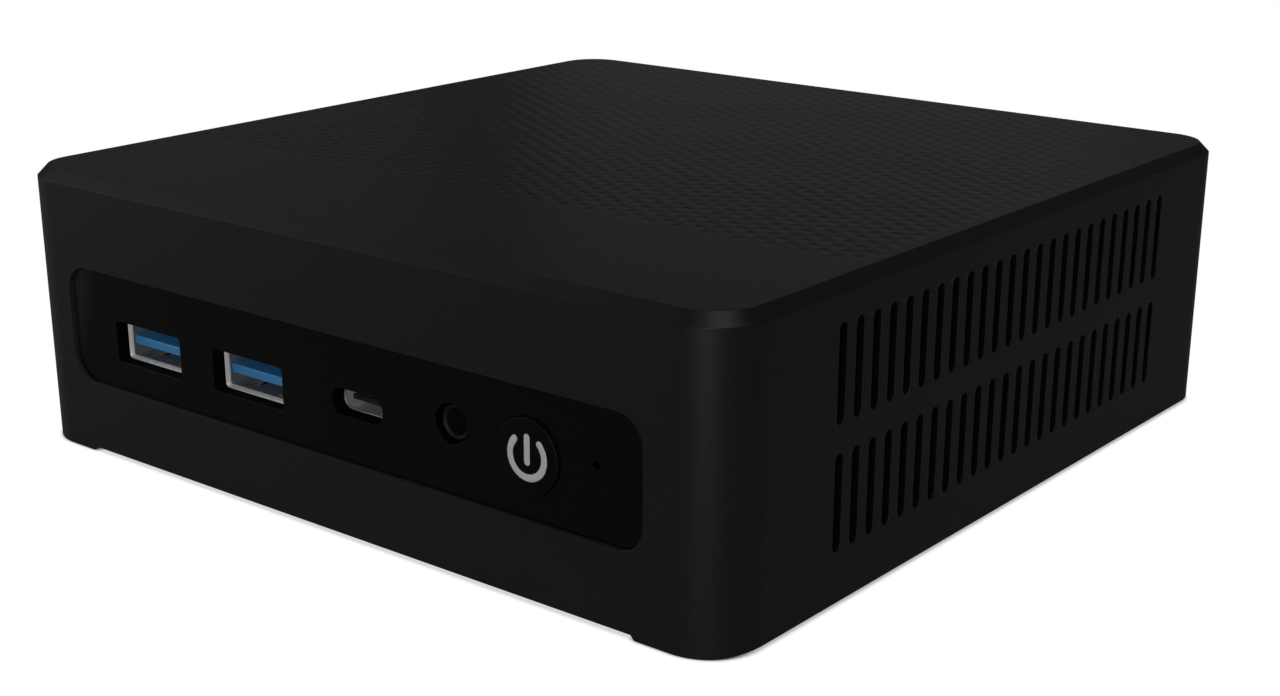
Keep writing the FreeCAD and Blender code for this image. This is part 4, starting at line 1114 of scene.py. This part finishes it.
def full_size_usb():
    tip = FRONT_TONGUE.y0 - FRONT_USB.y0
    nodes = ("front_usb_shells", "front_usb_inserts")
    usb_sockets("front", FRONT_USB, FRONT_USB_SPOTS, facing(FRONT_USB.y0, 1), tip, nodes)
    tip = REAR_USB.y1 - REAR_TONGUE.y1
    nodes = ("rear_usb_shells", "rear_usb_insert")
    usb_sockets("rear", REAR_USB, REAR_USB_SPOTS, facing(REAR_USB.y1, -1), tip, nodes)


def usb_c_socket():
    x, z = USB_C.cx, USB_C.cz
    place = facing(USB_C.y0, 1)
    length = USB_C.y1 - USB_C.y0
    skin = Skin()
    sleeve(skin, x, z, (USB_C.w, USB_C.h), 1.6, USB_C_SHEET, place, length)
    skin.build("usb_c_sleeve", ["dull_steel", "bright_steel"], "usb_c_shell")
    skin = Skin()
    tip = USB_C_CORE.y0 - USB_C.y0
    skin.block(rounded_at(x, z, (6.69, 0.7), 0.12, 2), place, (tip, length))
    skin.block(rounded_at(x, z, (8.2, 2.5), 1.2), place, (length - 2.0, length - 0.02), 0.05)
    back = rounded(x - 4.3, x + 4.3, BOARD.z1, z + 1.6, 0.2, 2)
    skin.block(back, place, (length, length + 1.2))
    foot = rounded(x - 4.3, x + 4.3, BOARD.z1, z - USB_C.h / 2, 0.15, 2)
    skin.block(foot, place, (length - 5.0, length + 0.05))
    skin.slot = 1
    for side in (-1, 1):
        steps = [(z + side * 0.36, tip + d) for d in (0.5, 2.1, 3.7)]
        for i in range(12):
            skin.finger(place, x + (i - 5.5) * USB_C_PITCH, steps, 0.26, 0.06)
    skin.build("usb_c_tongue", ["black_insert", "contact_gold"], "usb_c_insert")


def round_socket(place, at, outline, nose, bore, body_at, end):
    """Blind round socket: a box with a nose ring in front. nose is (radius, edge) and bore is
    (radius at the mouth, radius, depth of the taper, depth). The springs go on its second material."""
    nose_r, nose_edge = nose
    mouth_r, bore_r, taper, bore_end = bore
    skin = Skin()
    skin.lathe(place, *at, [
        (nose_r, body_at), (nose_r, nose_edge), (nose_r - nose_edge, 0.0), (mouth_r, 0.0), (bore_r, taper),
        (bore_r, bore_end), (0.0, bore_end),
    ], 64)
    skin.flat(outline, [circle(*at, nose_r, 64)], place, body_at)
    skin.swept(outline, place, [(0.0, body_at), (0.0, end - 0.1), (-0.1, end)])
    skin.flat(grown(outline, -0.1), (), place, end)
    skin.slot = 1
    return skin


def headphone_socket():
    x, z = AUDIO_AT
    place = facing(AUDIO.y0, 1)
    end = AUDIO.y1 - AUDIO.y0
    outline = rounded(AUDIO.x0, AUDIO.x1, BOARD.z1, AUDIO.z1, 0.3, 3)
    body_at = PANEL.y1 + 0.2 - AUDIO.y0
    skin = round_socket(place, AUDIO_AT, outline, (2.25, 0.12), (2.0, 1.78, 0.28, end - 0.9), body_at, end)
    spring = ((1.76, -0.9), (1.5, -0.2), (1.45, 0.0), (1.5, 0.2), (1.76, 0.9))
    for angle, depth in ((20, 3.4), (70, 4.6), (330, 6.2)):
        cos, sin = math.cos(math.radians(angle)), math.sin(math.radians(angle))
        path = [place(x + reach * cos, z + reach * sin, depth + d) for reach, d in spring]
        skin.ribbon(path, (-sin, 0, cos), 0.9, 0.1)
    skin.build("headphone_socket", ["black_insert", "bright_steel"], "audio_jack")


def power_socket():
    x, z = DC_AT
    place = facing(DC.y1, -1)
    end = DC.y1 - DC.y0
    outline = rounded(DC.x0, DC.x1, DC.z0, DC.z1, 0.4, 3)
    body_at = DC.y1 - (REAR.y0 - 0.2)
    skin = round_socket(place, DC_AT, outline, (3.6, 0.15), (3.0, 2.75, 0.3, end - 2.9), body_at, end)
    steps = [(z - r, d) for r, d in ((2.72, 8.0), (2.3, 5.4), (2.05, 4.6), (2.3, 3.8), (2.7, 3.2))]
    skin.finger(place, x, steps, 1.6, 0.2)
    skin.build("power_socket", ["black_insert", "bright_steel"], "dc_jack")
    skin = Skin()
    pin_r = DC_PIN.w / 2
    pin_end = DC_PIN.y1 - DC_PIN.y0
    skin.lathe(facing(DC_PIN.y1, -1), x, z, [
        (0.0, 0.0), (pin_r - 0.5, 0.0), (pin_r - 0.15, 0.15), (pin_r, 0.5), (pin_r, pin_end), (0.0, pin_end),
    ], 32)
    skin.build("power_socket_pin", ["bright_steel"], "dc_jack_pin")


def hdmi_sockets():
    shells = Skin()
    cores = Skin()
    place = facing(HDMI.y1, -1)
    length = HDMI.y1 - HDMI.y0
    flare = [(0.0, length), (0.0, 0.12), (-0.04, 0.04), (-0.12, 0.0), (0.12 - HDMI_SHEET, 0.0)]
    flare += [(0.04 - HDMI_SHEET, 0.04), (-HDMI_SHEET, 0.12), (-HDMI_SHEET, length), (0.0, length)]
    spring = ((0.4, 1.2), (0.75, 2.2), (0.9, 3.2), (0.6, 4.6), (0.36, 6.0))
    for x, z in HDMI_SPOTS:
        shells.swept(hdmi_loop(x, z, 0.0, 0.6), place, flare)
        for dx in (-4.6, 4.6):
            leg = rounded(x + dx - 0.6, x + dx + 0.6, BOARD.z1, z - 2.6, 0.1, 2)
            shells.block(leg, place, (5.6, 8.1), 0.05)
        for dx in (-3.4, 3.4):
            shells.finger(place, x + dx, [(z + HDMI_TALL - h, d) for h, d in spring], 1.6, 0.2)
        cores.slot = 0
        cores.block(rounded(x - 5.6, x + 5.6, z - 0.2, z + 0.9, 0.2, 2), place, (1.0, length - 0.1), 0.15)
        cores.block(hdmi_loop(x, z, -0.4, 0.3), place, (length - 3.5, length - 0.02), 0.05)
        cores.slot = 1
        for i in range(19):
            level = z + 0.92 if i % 2 else z - 0.22
            steps = [(level, d) for d in (1.5, 4.0, 7.0)]
            cores.finger(place, x + (i - 9) * HDMI_PITCH, steps, 0.24, 0.08)
    shells.build("hdmi_sleeves", ["bright_steel"], "hdmi_shells")
    cores.build("hdmi_tongues", ["black_insert", "contact_gold"], "hdmi_inserts")


def network_socket():
    place = facing(LAN_SHIELD.y1, -1)
    x, z0, z1 = LAN_SHIELD.cx, LAN_SHIELD.z0, LAN_SHIELD.z1
    length = LAN_SHIELD.y1 - LAN_SHIELD.y0
    half = LAN_SHIELD.w / 2
    sheet = LAN_SHEET
    skin = Skin()
    outer = rounded(x - half, x + half, z0, z1, 0.5, 3)
    inside = [(-sheet, length - sheet), (-sheet, 0.1), (0.1 - sheet, 0.0)]
    skin.swept(outer, place, inside + [(-0.1, 0.0), (0.0, 0.1), (0.0, length)])
    skin.flat(outer, (), place, length)
    skin.flat(grown(outer, -sheet), (), place, length - sheet)
    spring = ((0.05, 4.8), (0.16, 3.6), (0.17, 2.4), (0.1, 1.0))
    for side in (-1, 1):
        path = [place(x + side * (half + h), z0 + 7.0, d) for h, d in spring]
        skin.ribbon(path, (0, 0, 1), 2.2, 0.12)
    skin.build("lan_shield", ["bright_steel"], "ethernet_shield")

    skin = Skin()
    key, notch, tall = (3.1, 17.0), (5.9, 19.5), 26.3
    right = [key, (key[0], notch[1]), notch, (notch[0], tall)]
    left = [(x - u, v) for u, v in reversed(right)]
    mouth = softened(left[1:] + [(x + u, v) for u, v in right] + left[:1], 0.2, 2)
    lights = [rounded_at(x + side * 5.7, z0 + 2.5, (2.8, 2.0), 0.2, 2) for side in (-1, 1)]
    block = grown(outer, -sheet - 0.02)
    back = length - sheet - 0.05
    depth = REAR.y1 - 48.0
    skin.flat(grown(block, -0.1), [grown(mouth, 0.15)] + lights, place, 0.05)
    skin.swept(block, place, [(-0.1, 0.05), (0.0, 0.15), (0.0, back)])
    skin.flat(block, (), place, back)
    skin.swept(mouth, place, [(0.15, 0.05), (0.0, 0.2), (0.0, depth)])
    skin.flat(mouth, (), place, depth)
    for number, light in enumerate(lights):
        skin.slot = 0
        skin.swept(light, place, [(0.0, 0.05), (0.0, 0.3)])
        skin.slot = 1 + number
        skin.swept(light, place, [(0.0, 0.3), (-0.08, 0.2), (-0.17, 0.12)])
        skin.flat(grown(light, -0.17), (), place, 0.12)
    skin.slot = 3
    contact = ((26.0, 1.6), (25.0, 3.4), (23.2, 7.5), (22.6, 9.5))
    for i in range(8):
        skin.finger(place, x + (i - 3.5) * LAN_PITCH, contact, 0.42, 0.2)
    materials = ["black_insert", "lan_light_green", "lan_light_amber", "contact_gold"]
    skin.build("lan_socket", materials, "ethernet_jack")


# ---- power button ------------------------------------------------------------------------------------
SYMBOL_R = 2.7
SYMBOL_STROKE = 0.98
SYMBOL_GAP = 46.0
SYMBOL_BAR = (-0.7, 2.38)
SYMBOL_EDGE = 0.03
SYMBOL_SLACK = 0.01
CAP_EDGE = 0.1
CAP_THICK = 1.4
CAP_WALL = 0.6
STEM_R = 1.3


def power_symbol():
    """Outlines of the broken ring and of the bar in its gap."""
    x, z = BUTTON_AT
    half = SYMBOL_STROKE / 2
    start, end = 90 + SYMBOL_GAP, 450 - SYMBOL_GAP
    ring = arc(x, z, SYMBOL_R + half, start, end, 48)
    ring += stroke_end(end, end)
    ring += arc(x, z, SYMBOL_R - half, end, start, 48)
    ring += stroke_end(start, start + 180)
    bar = rounded(x - half, x + half, z + SYMBOL_BAR[0] - half, z + SYMBOL_BAR[1] + half, half, 8)
    return ring, bar


def stroke_end(at, start):
    """Round end of the ring's stroke at an angle; the half circle begins at start. Angles in degrees."""
    x, z = BUTTON_AT
    a = math.radians(at)
    cx, cz = x + SYMBOL_R * math.cos(a), z + SYMBOL_R * math.sin(a)
    return arc(cx, cz, SYMBOL_STROKE / 2, start, start + 180, 8)[1:-1]


def power_button():
    place = facing(BUTTON.y0, 1)
    symbol = power_symbol()
    skin = Skin()
    flange = PANEL.y1 + 0.05 - BUTTON.y0
    back = BUTTON.y1 - BUTTON.y0
    face_r = BUTTON_R - CAP_EDGE
    inner_r = BUTTON_R - CAP_WALL
    flange_r = BUTTON_R + CAP_WALL
    skin.flat(circle(*BUTTON_AT, face_r, 72), [grown(loop, SYMBOL_EDGE) for loop in symbol], place)
    turns = (0.0, 0.4, 0.8, 1.2, math.pi / 2)
    profile = [(face_r + CAP_EDGE * math.sin(t), CAP_EDGE * (1 - math.cos(t))) for t in turns]
    profile += [(BUTTON_R, flange), (flange_r, flange), (flange_r, back)]
    profile += [(inner_r, back), (inner_r, CAP_THICK)]
    skin.slot = 1
    skin.lathe(place, *BUTTON_AT, profile, 72)
    skin.flat(circle(*BUTTON_AT, inner_r, 72), symbol, place, CAP_THICK)
    for loop in symbol:
        skin.swept(loop, place, [(SYMBOL_EDGE, 0.0), (0.0, SYMBOL_EDGE), (0.0, CAP_THICK)])
    skin.build("button_cap", ["button_plastic", "lit_button_side"], "power_button", "power_button")

    skin = Skin()
    base = CAP_THICK + SYMBOL_SLACK
    insets = [grown(loop, -SYMBOL_SLACK) for loop in symbol]
    for inside in insets:
        skin.swept(inside, place, [(-0.15, 0.01), (-0.06, 0.03), (0.0, 0.09), (0.0, base)])
        skin.flat(grown(inside, -0.15), (), place, 0.01)
    disc_r = inner_r - 0.02
    disc_end = base + 1.0
    skin.flat(circle(*BUTTON_AT, disc_r, 72), insets, place, base)
    end = GUIDE.y1 - GUIDE.y0
    skin.lathe(place, *BUTTON_AT, [
        (disc_r, base), (disc_r, disc_end), (STEM_R, disc_end), (STEM_R, end - 0.1), (STEM_R - 0.1, end),
        (0.0, end),
    ], 72)
    skin.build("button_symbol", ["light_guide"], "power_light_guide", "power_button")


housing()
panels()
bottom_cover()
feet()
bracket_inserts()
cover_screws()
full_size_usb()
usb_c_socket()
headphone_socket()
power_socket()
hdmi_sockets()
network_socket()
power_button()


# ---- floor, light and camera -------------------------------------------------------------------------
FLOOR_HALF = 4.0
FLOOR_Z = -0.00002


def add_object(name, data):
    made = bpy.data.objects.new(name, data)
    bpy.context.scene.collection.objects.link(made)
    return made


def floor():
    """Pale floor: white to the camera but for the contact shade, darker in reflections, clear from below
    and for steep shadow rays, so that the lamps below it light the underside and the rear."""
    mesh = bpy.data.meshes.new("floor")
    corners = [(-1, -1), (1, -1), (1, 1), (-1, 1)]
    mesh.from_pydata([(x * FLOOR_HALF, y * FLOOR_HALF, FLOOR_Z) for x, y in corners], [], [(0, 1, 2, 3)])
    n = Nodes("studio_floor")
    rays = n.add("ShaderNodeLightPath").outputs
    side = n.add("ShaderNodeNewGeometry").outputs
    near = n.add("ShaderNodeAmbientOcclusion", samples=8, Distance=0.0008).outputs["AO"]
    glow = n.add("ShaderNodeEmission", Color=rgb(1.0), Strength=n.spread(near, 0.02, 1.0, 0.1, 0.85))
    dim = n.add("ShaderNodeBsdfDiffuse", Color=rgb(0.45))
    clear = n.add("ShaderNodeBsdfTransparent")
    seen = n.join("ShaderNodeMixShader", {0: rays["Is Camera Ray"], 1: dim.outputs[0], 2: glow.outputs[0]})
    slant = n.add("ShaderNodeSeparateXYZ", Vector=side["Incoming"]).outputs["Z"]
    steep = n.sum("MULTIPLY", n.spread(slant, 0.0, 1.0, 0.25, 0.27), rays["Is Shadow Ray"])
    open_to = n.sum("MAXIMUM", side["Backfacing"], steep)
    n.show(n.join("ShaderNodeMixShader", {0: open_to, 1: seen, 2: clear.outputs[0]}))
    mesh.materials.append(n.material)
    add_object("floor", mesh)


def surroundings(level):
    """White behind the object, soft grey light on it."""
    world = bpy.data.worlds.new("studio")
    world.use_nodes = True
    bpy.context.scene.world = world
    nodes = world.node_tree.nodes
    links = world.node_tree.links
    nodes.clear()
    rays = nodes.new("ShaderNodeLightPath")
    mixed = nodes.new("ShaderNodeMixShader")
    output = nodes.new("ShaderNodeOutputWorld")
    links.new(rays.outputs["Is Camera Ray"], mixed.inputs[0])
    for number, grey in ((1, level), (2, 1.0)):
        background = nodes.new("ShaderNodeBackground")
        background.inputs["Color"].default_value = rgb(grey)
        links.new(background.outputs[0], mixed.inputs[number])
    links.new(mixed.outputs[0], output.inputs["Surface"])


def softbox(name, azimuth, elevation, distance, size, power):
    """Rectangular lamp that looks at the object; azimuth 0 is in front and 90 is on the right."""
    light = bpy.data.lights.new(name, "AREA")
    light.shape = "RECTANGLE"
    light.size, light.size_y = size
    light.energy = power
    lamp = add_object(name, light)
    a, e = math.radians(azimuth), math.radians(elevation)
    back = Vector((math.sin(a) * math.cos(e), -math.cos(a) * math.cos(e), math.sin(e)))
    lamp.location = AIM + back * distance
    lamp.rotation_mode = "QUATERNION"
    lamp.rotation_quaternion = (-back).to_track_quat("-Z", "Y")
    lamp.visible_camera = False


AIM = Vector((0.0, 0.0, 0.02))
EYE = Vector((182.73, -226.17, 100.72)) * MM
LOOK = Vector((-0.59672, 0.73436, -0.32350))
WORLD_LIGHT = 0.03
# name, azimuth, elevation, distance in metres, size in metres, watts
LAMPS = (
    ("left_back_box", -120.0, 8.0, 1.2, (0.6, 0.6), 0.105),
    ("left_box", -60.0, 8.0, 1.2, (0.6, 0.6), 1.80),
    ("front_box", 30.0, 8.0, 1.2, (0.6, 0.6), 1.81),
    ("front_strip", 25.0, 5.0, 1.2, (0.22, 0.5), 2.83),
    ("high_box", 60.0, 60.0, 1.2, (0.6, 0.6), 1.96),
    ("near_left_lamp", -60.0, 35.0, 0.4, (0.2, 0.2), 0.042),
    ("near_back_left_lamp", -150.0, 10.0, 0.4, (0.2, 0.2), 0.0155),
    ("near_back_lamp", 180.0, 30.0, 0.4, (0.2, 0.2), 0.016),
    ("top_box", 0.0, 84.0, 1.2, (0.6, 0.6), 0.35),
    ("rear_box", -162.0, -32.0, 1.2, (0.6, 0.6), 6.0),
    ("under_box", -135.0, -60.0, 1.2, (0.7, 0.7), 3.0),
)


def camera():
    data = bpy.data.cameras.new("camera")
    data.sensor_width = 36.0
    data.lens = 55.71
    data.shift_x = 0.00535
    data.shift_y = 0.0429
    data.clip_start = 0.01
    data.clip_end = 20.0
    eye = add_object("camera", data)
    eye.location = EYE
    eye.rotation_mode = "QUATERNION"
    eye.rotation_quaternion = LOOK.to_track_quat("-Z", "Y")
    bpy.context.scene.camera = eye


floor()
surroundings(WORLD_LIGHT)
for lamp_values in LAMPS:
    softbox(*lamp_values)
camera()
bpy.context.scene.view_settings.view_transform = "Standard"
